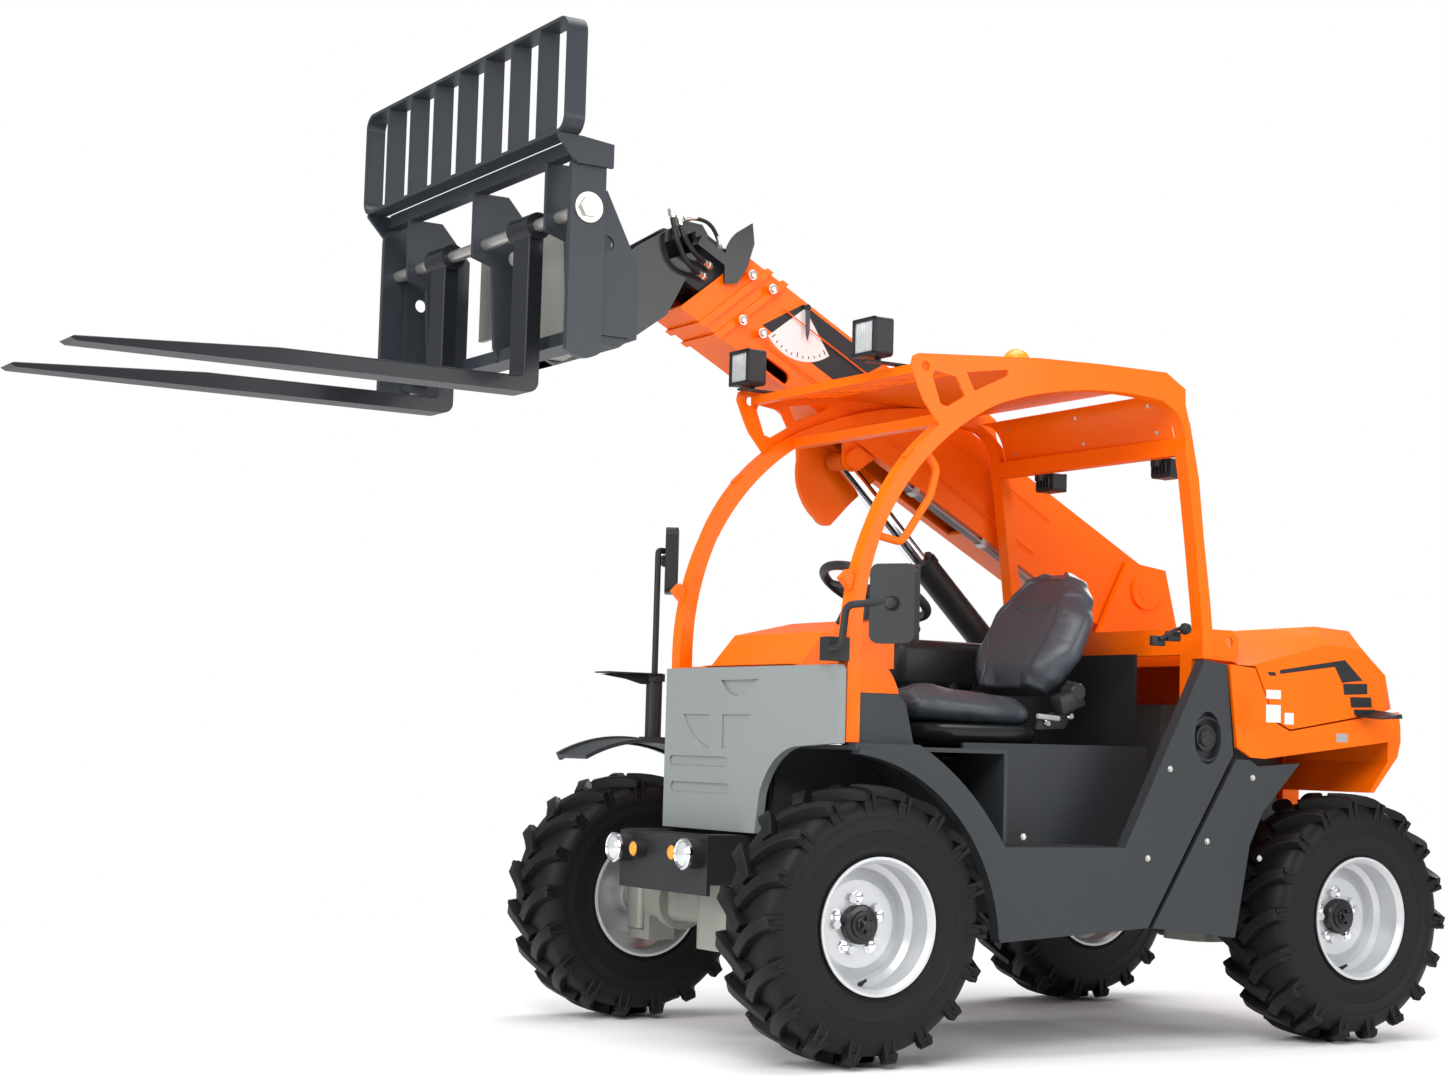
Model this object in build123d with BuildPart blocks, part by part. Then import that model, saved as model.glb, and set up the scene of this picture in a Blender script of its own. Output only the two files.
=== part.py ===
from build123d import *
import os
from math import atan2, cos, degrees, hypot, radians, sin

# Compact telehandler: open cab on the left, side-mounted telescopic boom on the right,
# pallet forks on a shaft-type carriage. Millimetres, +X forward, +Y left, +Z up.
# Measurements along the machine are taken from the front axle, through the three views below.

# ---------------------------------------------------------------- driving dimensions
front_axle_x = 62          # puts the origin under the middle of the overall length
wheel_base = 1800
track = 1245
tyre_radius = 380
tyre_width = 260
axle_height = tyre_radius
kingpin_y = 500

rail_low, rail_high = 460, 600          # frame rails, heights
rail_inner, rail_outer = 170, 250       # frame rails, distances from the centre plane
frame_front, frame_rear = 230, -1960

body_left = 700                         # outside of the left skirts
cab_left, cab_right = 680, -215         # outer face of the left arch, inner face of the right one
arch_width = 48            # roof arch tube, across its plane

boom_pivot = (-1795, 1423)              # side view
boom_angle = 28                         # parked boom, degrees above level
boom_centre_y, boom_width = -380, 190
boom_top, boom_bottom = 85, -195        # boom faces, measured square to the boom from its pivot
boom_wall = 12
inner_gap = 6

lift_base = (-1648, 804)                # lower pin of the lift cylinder, side view
lift_eye = (1219, -240)                 # upper pin, in the boom's own axes
tilt_pivot = (470, 2030)                # carriage pin, side view
tilt_base = (-108, 2297)                # rear pin of the tilt cylinder, side view
tilt_eye = (530, 2250)                  # front pin of the tilt cylinder, side view

carriage_y = -250
shaft = (758, 2290)                     # fork shaft, side view
shaft_radius = 18
shaft_half = 659
fork_spread = 279                       # each fork from the carriage's centre

hood_hinge = (-1352, 1236)
mirror_post = (-70, -620)               # right mirror, seen from above
steering_hub = (-331, 1318)
steering_y = 220
steering_tilt = 25                      # column leans back from upright, degrees


def side_view(y):
    """Plane seen from the left: x forward from the front axle, y up. It extrudes to the right."""
    return Plane(origin=(front_axle_x, y, 0), x_dir=(1, 0, 0), z_dir=(0, -1, 0))


def cross_view(x):
    """Plane across the machine: x to the left, y up. It extrudes forward."""
    return Plane(origin=(front_axle_x + x, 0, 0), x_dir=(0, 1, 0), z_dir=(1, 0, 0))


def top_view(z):
    """Plane seen from above: x forward from the front axle, y to the left. It extrudes upward."""
    return Plane(origin=(front_axle_x, 0, z), x_dir=(1, 0, 0), z_dir=(0, 0, 1))


def boom_view(y):
    """Side view turned to the parked boom: x along the boom from its pivot, y square to it."""
    pivot = (front_axle_x + boom_pivot[0], y, boom_pivot[1])
    along = (cos(radians(boom_angle)), 0, sin(radians(boom_angle)))
    return Plane(origin=pivot, x_dir=along, z_dir=(0, -1, 0))


def boom_cross(u):
    """Plane across the boom at u: x to the left, y away from its underside, extrudes towards the tip."""
    x, z = boom_point(u, 0)
    angle = radians(boom_angle)
    return Plane(
        origin=(front_axle_x + x, boom_centre_y, z), x_dir=(0, 1, 0), z_dir=(cos(angle), 0, sin(angle)),
    )


def strut_view(start, end, y):
    """Plane square to the line from start to end (side view points), at start."""
    direction = (end[0] - start[0], 0, end[1] - start[1])
    return Plane(origin=(front_axle_x + start[0], y, start[1]), x_dir=(0, 1, 0), z_dir=direction)


def boom_point(along, square):
    """Side view point of a place given in the boom's own axes."""
    turn = radians(boom_angle)
    return (
        boom_pivot[0] + along * cos(turn) - square * sin(turn),
        boom_pivot[1] + along * sin(turn) + square * cos(turn),
    )


def save(piece, name):
    piece.label = name
    export_step(piece, f"parts/{name}.step")


os.makedirs("parts", exist_ok=True)

# ---------------------------------------------------------------- wheels
disc_face = 19            # wheel disc, out from the wheel's centre plane
hub_bore = 30
running_gap = 0.05

lug_count = 15            # chevron lugs on each half of the tread
lug_top = tyre_radius - 3
with BuildPart() as tyre:
    with BuildSketch(Plane.XY):
        with BuildLine():
            Line((176, -112), (192, -120))
            ThreePointArc((192, -120), (265, -130), (322, -124))
            Polyline((322, -124), (348, -104), (354, 0), (348, 104), (322, 124))
            ThreePointArc((322, 124), (265, 130), (192, 120))
            Polyline((192, 120), (176, 112), (176, -112))
        make_face()
    revolve(axis=Axis.Y)
    for half in (1, -1):
        for place in range(lug_count):
            turn = (place + (0.25 if half > 0 else 0.75)) * 360 / lug_count
            spoke = Plane(origin=(0, 0, 0), x_dir=(0, half, 0), z_dir=(1, 0, 0)).rotated((0, turn, 0))
            # a bar from the middle of the tread to the shoulder, leaning back as it goes out
            foot = spoke.offset(-26)
            with BuildSketch(foot):
                with BuildLine():
                    Polyline(
                        (-6, 340), (-6, lug_top), (100, lug_top), (124, lug_top - 16), (129, 322), (112, 322),
                        close=True,
                    )
                make_face()
            extrude(amount=34)
with BuildPart() as rim:
    with BuildSketch(Plane.XY):
        with BuildLine():
            Polyline(
                (186, 126), (186, 121), (176, 113), (175.8, 40), (160, 28), (160, -30),
                (175.8, -42), (175.8, -113), (186, -121), (186, -126), (178, -126), (168, -112),
                (168, -46), (152, -34), (152, -10), (118, 7), (60, 7), (60, -55),
                (hub_bore, -55), (hub_bore, -4), (0, -4), (0, 46), (36, 46), (42, 40),
                (42, disc_face), (118, disc_face), (150, 4), (152, 32), (168, 44), (168, 112),
                (178, 126), close=True,
            )
        make_face()
    revolve(axis=Axis.Y)
    # five wheel nuts on the disc and four hand holes round it
    with BuildSketch(Plane.XZ.offset(-disc_face)):
        with PolarLocations(73, 5):
            RegularPolygon(13, 6)
    extrude(amount=-14)

with BuildPart() as knuckle:
    with BuildSketch(Plane.XY.offset(-97)):
        with Locations((0, 8)):
            RectangleRounded(96, 86, 20)
    extrude(amount=194)
    with BuildSketch(Plane.XZ.offset(-51)):
        Circle(52)
    extrude(amount=-12)
    with BuildSketch(Plane.XZ.offset(-63)):
        Circle(hub_bore - running_gap)
    extrude(amount=-(track / 2 - kingpin_y - 4 - 63 - 1))
    # steering arm
    with BuildSketch(Plane.XY.offset(-60)):
        with BuildLine():
            Polyline((-40, -30), (-150, -34), (-150, -8), (-40, 20), close=True)
        make_face()
    extrude(amount=24)
    with BuildSketch(Plane.XY.offset(-97)):
        Circle(15 + running_gap)
    extrude(amount=194, mode=Mode.SUBTRACT)

wheel_places = [
    # name, x from the front axle, side
    ("front_left", 0, 1),
    ("front_right", 0, -1),
    ("rear_left", -wheel_base, 1),
    ("rear_right", -wheel_base, -1),
]
for corner, along, side in wheel_places:
    to_outside = Rotation(0, 0, 0) if side > 0 else Rotation(0, 0, 180)
    hub_place = Pos(front_axle_x + along, side * track / 2, axle_height)
    pin_place = Pos(front_axle_x + along, side * kingpin_y, axle_height)
    # the steering arms point at the middle of the machine
    arm_side = 1 if along == 0 else -1
    knuckle_part = knuckle.part if arm_side * side > 0 else mirror(knuckle.part, about=Plane.YZ)
    save(hub_place * to_outside * tyre.part, f"tyre_{corner}")
    save(hub_place * to_outside * rim.part, f"rim_{corner}")
    save(pin_place * to_outside * knuckle_part, f"knuckle_{corner}")


def axle(along, tube_side):
    """Rigid axle: beam, differential, yokes and kingpins, steering cylinder on one side."""
    place = Plane(origin=(front_axle_x + along, 0, axle_height))
    with BuildPart() as made:
        with BuildSketch(Plane(place.origin + (0, 425, 0), x_dir=(1, 0, 0), z_dir=(0, -1, 0))):
            RectangleRounded(110, 116, 30)
        extrude(amount=850)
        with BuildSketch(Plane(place.origin + (0, 0, -118), z_dir=(0, 0, 1))):
            with Locations((0, 60)):
                RectangleRounded(230, 220, 60)
        extrude(amount=198)
        # flanges of the reduction gears
        for y in (300, -300):
            with BuildSketch(Plane(place.origin + (0, y + 20, 0), x_dir=(1, 0, 0), z_dir=(0, -1, 0))):
                Circle(86)
            extrude(amount=40)
        # yokes above and below each knuckle, with the kingpin through them
        for side in (1, -1):
            yoke = Plane(place.origin + (0, side * 450, -127), z_dir=(0, 0, 1))
            with BuildSketch(yoke):
                with Locations((0, -side * 28)):
                    Rectangle(90, 32)
            extrude(amount=254)
            for level in (0, 226):
                with BuildSketch(Plane(yoke.origin + (0, 0, level), z_dir=(0, 0, 1))):
                    with Locations((0, side * 24)):
                        Rectangle(84, 136)
                extrude(amount=28)
            with BuildSketch(Plane(yoke.origin + (0, side * 50, 0), z_dir=(0, 0, 1))):
                Circle(15)
            extrude(amount=254)
        # saddles up to the frame rails
        with BuildSketch(Plane(place.origin + (0, 0, 40), z_dir=(0, 0, 1))):
            with GridLocations(0, rail_inner + rail_outer, 1, 2):
                Rectangle(150, rail_outer - rail_inner)
        extrude(amount=rail_low - axle_height - 40)
        # steering cylinder
        with BuildSketch(Plane(place.origin + (tube_side * 100, 180, -48), x_dir=(1, 0, 0), z_dir=(0, -1, 0))):
            Circle(34)
        extrude(amount=360)
        with BuildSketch(Plane(place.origin + (tube_side * 100, 380, -48), x_dir=(1, 0, 0), z_dir=(0, -1, 0))):
            Circle(14)
        extrude(amount=760)
    return made.part


front_axle = axle(0, -1)
rear_axle = axle(-wheel_base, 1)
save(front_axle, "front_axle")
save(rear_axle, "rear_axle")

# ---------------------------------------------------------------- frame
with BuildPart() as main_frame:
    frame_length = frame_front - frame_rear
    with BuildSketch(top_view(rail_low)):
        with Locations(((frame_front + frame_rear) / 2, 0)):
            with GridLocations(0, rail_inner + rail_outer, 1, 2):
                Rectangle(frame_length, rail_outer - rail_inner)
        for x, depth in ((frame_front - 8, 16), (-430, 60), (-1000, 60), (-1500, 60), (frame_rear + 8, 16)):
            with Locations((x, 0)):
                Rectangle(depth, 2 * rail_inner)
    extrude(amount=rail_high - rail_low)
    # deck plate on the rails
    with BuildSketch(top_view(rail_high)):
        with Locations((-600, 0)):
            Rectangle(1300, 2 * rail_outer)
    extrude(amount=8)
    # outriggers that carry the skirts, steps and side box
    with BuildSketch(top_view(rail_low + 20)):
        for x in (-560, -1200):
            with Locations((x, 0)):
                Rectangle(70, 2 * (body_left - 40))
    extrude(amount=60)
save(main_frame.part, "main_frame")

# boom tower: two plates over the right rear wheel, with the boom pivot between them
tower_left_y = boom_centre_y + boom_width / 2 + 8      # inner face of the left plate
tower_right_y = boom_centre_y - boom_width / 2 - 8
tower_plate = 22
pivot_radius = 32
lift_pin = 25
with BuildPart() as boom_tower:
    tower_front = [(-1948, 1290), (-1890, 1500), (-1725, 1520), (-1660, 1400), (-1520, 1120), (-1390, 1040)]
    with BuildSketch(side_view(tower_left_y + tower_plate)):
        with BuildLine():
            Polyline((-1905, 608), *tower_front, (-1390, 608), close=True)
        make_face()
    extrude(amount=tower_plate)
    with BuildSketch(side_view(tower_right_y)):
        with BuildLine():
            Polyline(
                (-1930, 850), *tower_front, (-1390, 850), (-1570, 850), (-1600, 768), (-1696, 768),
                (-1730, 850), close=True,
            )
        make_face()
    extrude(amount=tower_plate)
    # floor over the wheel, rear plate and foot on the frame
    with BuildSketch(top_view(830)):
        with Locations((-1835, (tower_left_y + tower_right_y) / 2)):
            Rectangle(190, tower_left_y - tower_right_y + 2 * tower_plate)
    extrude(amount=20)
    with BuildSketch(cross_view(-1948)):
        with Locations((boom_centre_y, 980)):
            Rectangle(tower_left_y - tower_right_y, 260)
    extrude(amount=14)
    with BuildSketch(top_view(608)):
        with Locations((-1640, -214)):
            Rectangle(500, 88)
    extrude(amount=20)
    # reinforcing rings round the pivot pin, outside the plates
    for y, to in ((tower_left_y + tower_plate, 12), (tower_right_y - tower_plate, -12)):
        with BuildSketch(side_view(y)):
            with Locations(boom_pivot):
                Circle(62)
        extrude(amount=-to)
    # pivot pin
    with BuildSketch(side_view(tower_left_y + tower_plate + 14)):
        with Locations(boom_pivot):
            Circle(pivot_radius)
    extrude(amount=tower_left_y - tower_right_y + 2 * tower_plate + 28)
    # lower pin of the lift cylinder
    with BuildSketch(side_view(tower_left_y + 1)):
        with Locations(lift_base):
            Circle(lift_pin)
    extrude(amount=tower_left_y - tower_right_y + 2)
save(boom_tower.part, "boom_tower")

with BuildPart() as engine:
    with BuildSketch(top_view(rail_high)):
        with Locations((-1640, 140)):
            Rectangle(500, 300)
    extrude(amount=420)
save(engine.part, "engine")

# ---------------------------------------------------------------- body panels
panel = 40                # depth of the moulded side panels

with BuildPart() as front_cover:
    with BuildSketch(cross_view(94)):
        with BuildLine():
            Polyline((-215, 1078), (-215, 608), (298, 608), (318, 720))
            ThreePointArc((318, 720), (400, 820), (520, 856))
            Polyline((520, 856), (700, 866), (700, 1066), (688, 1078), (-215, 1078))
        make_face()
    extrude(amount=26)
    # ribs on its back, against the floor pan's front wall and the arch
    with BuildSketch(cross_view(66)):
        for y in (220, -160):
            with Locations((y, 840)):
                Rectangle(16, 380)
    extrude(amount=28)
    with BuildSketch(cross_view(76)):
        with Locations((656, 960)):
            Rectangle(40, 140)
    extrude(amount=18)
    # shallow mouldings: split half moon, two long grooves and a bolted corner recess
    with BuildSketch(cross_view(120)):
        with BuildLine():
            Polyline((98, 1040), (303, 1042), (188, 992), (138, 1004), close=True)
        make_face()
    extrude(amount=-8, mode=Mode.SUBTRACT)
    with BuildSketch(cross_view(120)):
        with Locations((-20, 805), (-10, 728)):
            SlotOverall(330, 30)
    extrude(amount=-6, mode=Mode.SUBTRACT)
    with BuildSketch(cross_view(120)):
        with BuildLine():
            Line((-110, 942), (262, 942))
            ThreePointArc((262, 942), (76, 840), (-110, 942))
        make_face()
        with Locations((76, 890)):
            Rectangle(70, 140, mode=Mode.SUBTRACT)
    extrude(amount=-5, mode=Mode.SUBTRACT)
save(front_cover.part, "front_cover")

with BuildPart() as cab_floor:
    with BuildSketch(top_view(608)):
        with BuildLine():
            Polyline(
                (56, -215), (56, 290), (-492, 290), (-492, 455), (-1145, 455), (-1145, -215), close=True,
            )
        make_face()
    extrude(amount=8)
    with BuildSketch(cross_view(56)):
        with Locations((37.5, 830)):
            Rectangle(505, 440)
    extrude(amount=10)
    # rear wall behind the seat
    with BuildSketch(cross_view(-1145)):
        with Locations((120, 890)):
            Rectangle(670, 548)
    extrude(amount=10)
save(cab_floor.part, "cab_floor")

with BuildPart() as left_skirt:
    with BuildSketch(side_view(body_left)):
        with BuildLine():
            Polyline((-156, 868), (58, 868), (58, 850))
            ThreePointArc((58, 850), (-297, 679), (-445, 326))
            Polyline(
                (-445, 326), (-985, 359), (-1311, 867), (-1283, 1135), (-1195, 1146), (-955, 700),
                (-895, 590), (-457, 590),
            )
            ThreePointArc((-457, 590), (-310, 762), (-156, 868))
        make_face()
    extrude(amount=panel)
    # step: floor and the wall behind it
    with BuildSketch(top_view(578)):
        with Locations((-705, 563)):
            Rectangle(426, 194)
    extrude(amount=12)
    with BuildSketch(side_view(467)):
        with BuildLine():
            Polyline((-480, 540), (-480, 880), (-1180, 885), (-1180, 540), close=True)
        make_face()
    extrude(amount=12)
    # wheel house: rear wall, roof and inner wall
    with BuildSketch(cross_view(-492)):
        with Locations((480, 631)):
            Rectangle(360, 462)
    extrude(amount=12)
    with BuildSketch(top_view(850)):
        with Locations((-217, 480)):
            Rectangle(550, 360)
    extrude(amount=12)
    with BuildSketch(side_view(302)):
        with Locations((-217, 739)):
            Rectangle(550, 246)
    extrude(amount=12)
    # thick lip round the wheel opening
    with BuildSketch(side_view(body_left + 5)):
        with BuildLine():
            ThreePointArc((46, 848), (-297, 676), (-446, 335))
        trace(line_width=18)
    extrude(amount=panel)
    # fin in front of the door opening
    with BuildSketch(side_view(664)):
        with BuildLine():
            Polyline((33, 1004), (-107, 1004), (-132, 977), (-162, 862), (33, 862), close=True)
        make_face()
    extrude(amount=14)
    # pocket of the fuel filler
    with BuildSketch(side_view(body_left)):
        with Locations((-1210, 915)):
            Ellipse(52, 78)
    extrude(amount=28, mode=Mode.SUBTRACT)
save(left_skirt.part, "left_skirt")

with BuildPart() as fuel_cap:
    with BuildSketch(side_view(body_left - 8)):
        with Locations((-1210, 915)):
            Circle(38)
    extrude(amount=20)
save(fuel_cap.part, "fuel_cap")

with BuildPart() as rear_skirt:
    with BuildSketch(side_view(body_left)):
        with BuildLine():
            Polyline(
                (-1003, 358), (-1326, 325), (-1382, 600), (-1436, 700), (-1586, 847), (-1413, 834),
                (-1380, 852), (-1325, 854), close=True,
            )
        make_face()
    extrude(amount=panel)
save(rear_skirt.part, "rear_skirt")

with BuildPart() as right_body:
    with BuildSketch(side_view(-body_left + panel)):
        with BuildLine():
            Polyline((-470, 812), (-470, 326), (-985, 359), (-1326, 325), (-1340, 700), (-1300, 812), close=True)
        make_face()
    extrude(amount=panel)
    with BuildSketch(top_view(800)):
        with Locations((-885, -582)):
            Rectangle(830, 156)
    extrude(amount=12)
    with BuildSketch(side_view(-500)):
        with Locations((-885, 676)):
            Rectangle(830, 272)
    extrude(amount=12)
    # mudguards
    guard_radius = 481
    for centre, start, end in ((0, 62, 178), (-wheel_base, 8, 138)):
        for face_y, thickness, width in ((-512, 12, 188), (-686, 26, 18)):
            with BuildSketch(side_view(face_y)):
                with BuildLine():
                    CenterArc((centre, axle_height), guard_radius, start, end - start)
                trace(line_width=thickness)
            extrude(amount=width)
    # pedestal of the mirror
    with BuildSketch(top_view(852)):
        with Locations(mirror_post):
            Rectangle(64, 64)
    extrude(amount=22)
save(right_body.part, "right_body")

with BuildPart() as rear_body:
    with BuildSketch(side_view(body_left)):
        with BuildLine():
            Polyline(
                (-1295, 1137), (-1328, 890), (-1384, 861), (-1441, 858), (-1994, 925), (-2018, 950),
                (-2012, 1016), (-1985, 1014), (-1543, 943), (-1481, 968), (-1397, 1129), close=True,
            )
        make_face()
    extrude(amount=12)
    with BuildSketch(side_view(688)):
        with BuildLine():
            Polyline(
                (-1975, 1000), (-2012, 1012), (-2030, 980), (-2032, 925), (-2019, 876), (-1915, 762),
                (-1895, 762), (-1975, 858), close=True,
            )
        make_face()
    extrude(amount=935)
    with BuildSketch(side_view(248)):
        with BuildLine():
            Polyline((-1960, 870), (-2032, 875), (-2032, 480), (-1960, 460), close=True)
        make_face()
    extrude(amount=496)
    # right wall of the engine bay
    with BuildSketch(side_view(-235)):
        with BuildLine():
            Polyline(
                (-1352, 628), (-1352, 1000), (-1975, 1000), (-1975, 870), (-1960, 870), (-1960, 628), close=True,
            )
        make_face()
    extrude(amount=12)
    # tow hitch: two jaws with a pin bore
    for level in (520, 600):
        with BuildSketch(top_view(level)):
            with Locations((-2062, 0)):
                RectangleRounded(62, 90, 20)
            with Locations((-2070, 0)):
                Circle(13, mode=Mode.SUBTRACT)
        extrude(amount=20)
save(rear_body.part, "rear_body")

# hood: sections across the machine, front to rear
hood_sections = [
    # x, side_y, side_top, shoulder_y, top
    (-1352, 698, 1130, 430, 1238),
    (-1700, 700, 1215, 640, 1272),
    (-1850, 698, 1205, 640, 1265),
    (-1960, 690, 1130, 610, 1190),
    (-2020, 660, 1015, 590, 1040),
]
hood_wall = 8
with BuildPart() as hood:
    for x, side_y, side_top, shoulder_y, top in hood_sections:
        with BuildSketch(cross_view(x)):
            with BuildLine():
                Polyline(
                    (-235, 940), (side_y, 940), (side_y, side_top), (shoulder_y, top), (-235, top),
                    close=True,
                )
            make_face()
    loft(ruled=True)
    for x, side_y, side_top, shoulder_y, top in hood_sections:
        inside_x = min(max(x, -2020 + hood_wall), -1352 - hood_wall)
        with BuildSketch(cross_view(inside_x)):
            with BuildLine():
                Polyline(
                    (-235 + hood_wall, 930), (side_y - hood_wall, 930),
                    (side_y - hood_wall, side_top - hood_wall),
                    (shoulder_y - hood_wall, top - hood_wall), (-235 + hood_wall, top - hood_wall),
                    close=True,
                )
            make_face()
    loft(ruled=True, mode=Mode.SUBTRACT)
    # the seam against the fixed panels
    with BuildSketch(side_view(720)):
        with BuildLine():
            Polyline(
                (-1300, 900), (-1300, 1140), (-1403, 1135), (-1486, 974), (-1546, 949), (-2040, 1030),
                (-2040, 900), close=True,
            )
        make_face()
    extrude(amount=980, mode=Mode.SUBTRACT)
    # hinge barrels at the front edge
    for y in (380, -150):
        with BuildSketch(side_view(y)):
            with Locations(hood_hinge):
                Circle(11)
        extrude(amount=60)
save(hood.part, "hood")

# ---------------------------------------------------------------- cab
with BuildPart() as cab_frame:
    arch_feet = ((cab_left, 870, 1150), (cab_right, 608, 608))      # face, front foot, rear foot
    for face_y, foot, rear_foot in arch_feet:
        with BuildSketch(side_view(face_y)):
            with BuildLine():
                # outer edge, front to rear
                Line((76, foot), (76, 1100))
                ThreePointArc((76, 1100), (55, 1310), (-3, 1478))
                ThreePointArc((-3, 1478), (-220, 1764), (-425, 1874))
                ThreePointArc((-425, 1874), (-642, 1937), (-868, 1960))
                ThreePointArc((-868, 1960), (-1025, 1932), (-1143, 1853))
                Polyline(
                    (-1143, 1853), (-1182, 1684), (-1204, 1506), (-1231, 1327), (-1245, 1208), (-1245, rear_foot),
                    (-1203, rear_foot), (-1203, 1240), (-1168, 1506), (-1142, 1685), (-1124, 1774),
                )
                # inner edge, rear to front
                ThreePointArc((-1124, 1774), (-1100, 1868), (-1027, 1910))
                ThreePointArc((-1027, 1910), (-720, 1909), (-426, 1841))
                ThreePointArc((-426, 1841), (-214, 1703), (-43, 1481))
                ThreePointArc((-43, 1481), (14, 1312), (33, 1140))
                Polyline((33, 1140), (33, foot), (76, foot))
            make_face()
        extrude(amount=arch_width)
    inner_left = cab_left - arch_width
    span = inner_left - cab_right
    # cross bars: dash, roof rear, behind the seat, roof header
    cross_bars = [
        # x, z, depth, height
        (54, 1069, 42, 30),
        (-1140, 1783, 38, 52),
        (-1224, 1202, 42, 78),
        (-330, 1800, 40, 30),
    ]
    for x, z, depth, height in cross_bars:
        with BuildSketch(side_view(inner_left)):
            with Locations((x, z)):
                Rectangle(depth, height)
        extrude(amount=span)
    # leg of the left pillar, inside the body
    with BuildSketch(side_view(inner_left)):
        with Locations((-1224, 890)):
            Rectangle(42, 700)
    extrude(amount=50)
    # tabs along the front edges of both arches
    tab_places = [(-134, 1660), (70, 1310)]
    for face_y in (cab_left - 8, cab_right - 12):
        for x, z in tab_places:
            with BuildSketch(side_view(face_y)):
                with Locations((x, z)):
                    Rectangle(46, 34, rotation=45)
            extrude(amount=24)
    # quarter panel beside the front pillar
    with BuildSketch(side_view(664)):
        with BuildLine():
            Polyline((-107, 1006), (34, 1006), (34, 1122), (20, 1122))
            ThreePointArc((20, 1122), (-59, 1084), (-107, 1006))
        make_face()
    extrude(amount=14)
    # grab handle inside the left arch
    handle_y = cab_left - arch_width / 2
    with BuildLine():
        FilletPolyline(
            (front_axle_x - 190, handle_y, 1682), (front_axle_x - 226, handle_y, 1640),
            (front_axle_x - 205, handle_y, 1560), (front_axle_x - 110, handle_y, 1425),
            (front_axle_x - 20, handle_y, 1440), radius=28,
        )
    with BuildSketch(Plane(origin=(front_axle_x - 190, handle_y, 1682), z_dir=(-36, 0, -42))):
        Circle(11)
    sweep()
    # tab with a hole behind the left pillar
    with BuildSketch(side_view(cab_left - 8)):
        with BuildLine():
            Polyline((-1225, 1150), (-1225, 1240), (-1330, 1240), (-1355, 1215), (-1355, 1160), (-1335, 1146), close=True)
        make_face()
        with Locations((-1318, 1205)):
            Circle(15, mode=Mode.SUBTRACT)
    extrude(amount=10)
save(cab_frame.part, "cab_frame")

with BuildPart() as canopy:
    # side plates that carry the roof, with a hole and two cut-outs
    for face_y in (cab_left, cab_right - arch_width + 26):
        with BuildSketch(side_view(face_y)):
            with BuildLine():
                Polyline(
                    (-230, 1745), (-201, 1778), (-162, 1822), (-144, 1856), (-115, 1920), (-121, 1944),
                    (-138, 1954), (-566, 1986), (-789, 1993), (-1048, 1995), (-1124, 1952), (-1125, 1905),
                    (-1141, 1853), (-1010, 1922), (-870, 1939), (-650, 1916), (-430, 1857), close=True,
                )
            make_face()
            with Locations((-163, 1920)):
                Circle(14, mode=Mode.SUBTRACT)
            with BuildLine():
                Polyline(
                    (-194, 1912), (-187, 1894), (-217, 1819), (-241, 1813), (-304, 1850), (-274, 1901), close=True,
                )
            make_face(mode=Mode.SUBTRACT)
            with BuildLine():
                Polyline(
                    (-305, 1918), (-335, 1867), (-451, 1922), (-454, 1940), (-422, 1936), close=True,
                )
            make_face(mode=Mode.SUBTRACT)
        extrude(amount=8)
    # roof sheet, front bar and the slotted panel between them
    roof_left = cab_left - 8
    roof_span = roof_left - cab_right + arch_width - 26
    with BuildSketch(side_view(roof_left)):
        with Locations((-760, 1963)):
            Rectangle(590, 8)
        with Locations((-178, 1922)):
            Rectangle(26, 26)
        with BuildLine():
            Polyline((-180, 1924), (-180, 1932), (-480, 1968), (-480, 1960), close=True)
        make_face()
    extrude(amount=roof_span)
    with BuildSketch(top_view(1915)):
        with Locations((-332, roof_left - roof_span / 2)):
            with GridLocations(46, 172, 6, 5):
                SlotOverall(150, 22, rotation=90)
    extrude(amount=60, mode=Mode.SUBTRACT)
    add(cab_frame.part, mode=Mode.SUBTRACT)
save(canopy.part, "canopy")

with BuildPart() as dash:
    with BuildSketch(side_view(420)):
        with BuildLine():
            Polyline((90, 1086), (60, 1086), (-20, 1180), (-225, 1226), (-262, 1200), (-262, 1084), (24, 1084), (90, 1084), close=True)
        make_face()
    extrude(amount=480)
    with BuildSketch(top_view(616)):
        with Locations((-60, 200)):
            Rectangle(150, 160)
    extrude(amount=468)
save(dash.part, "dash")

wheel_axis = (-sin(radians(steering_tilt)), 0, cos(radians(steering_tilt)))
hub_place = Plane(
    origin=(front_axle_x + steering_hub[0], steering_y, steering_hub[1]),
    x_dir=(0, 1, 0), z_dir=wheel_axis,
)
with BuildPart() as steering_wheel:
    with BuildSketch(Plane(hub_place.origin, x_dir=hub_place.x_dir, z_dir=hub_place.y_dir)):
        with Locations((163, 0)):
            Circle(14)
    revolve(axis=Axis(hub_place.origin, hub_place.z_dir))
    with BuildSketch(hub_place.offset(-30)):
        Circle(36)
    extrude(amount=36)
    with BuildSketch(hub_place.offset(-8)):
        for turn in (90, 210, 330):
            with Locations(Rotation(0, 0, turn)):
                with Locations((85, 0)):
                    Rectangle(150, 26)
    extrude(amount=10)
save(steering_wheel.part, "steering_wheel")

with BuildPart() as steering_column:
    with BuildSketch(hub_place.offset(-31)):
        Circle(30)
    extrude(amount=-190)
    add(dash.part, mode=Mode.SUBTRACT)
save(steering_column.part, "steering_column")

with BuildPart() as seat_base:
    with BuildSketch(top_view(616)):
        with Locations((-665, 230)):
            RectangleRounded(330, 340, 40)
    extrude(amount=304)
save(seat_base.part, "seat_base")

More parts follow.
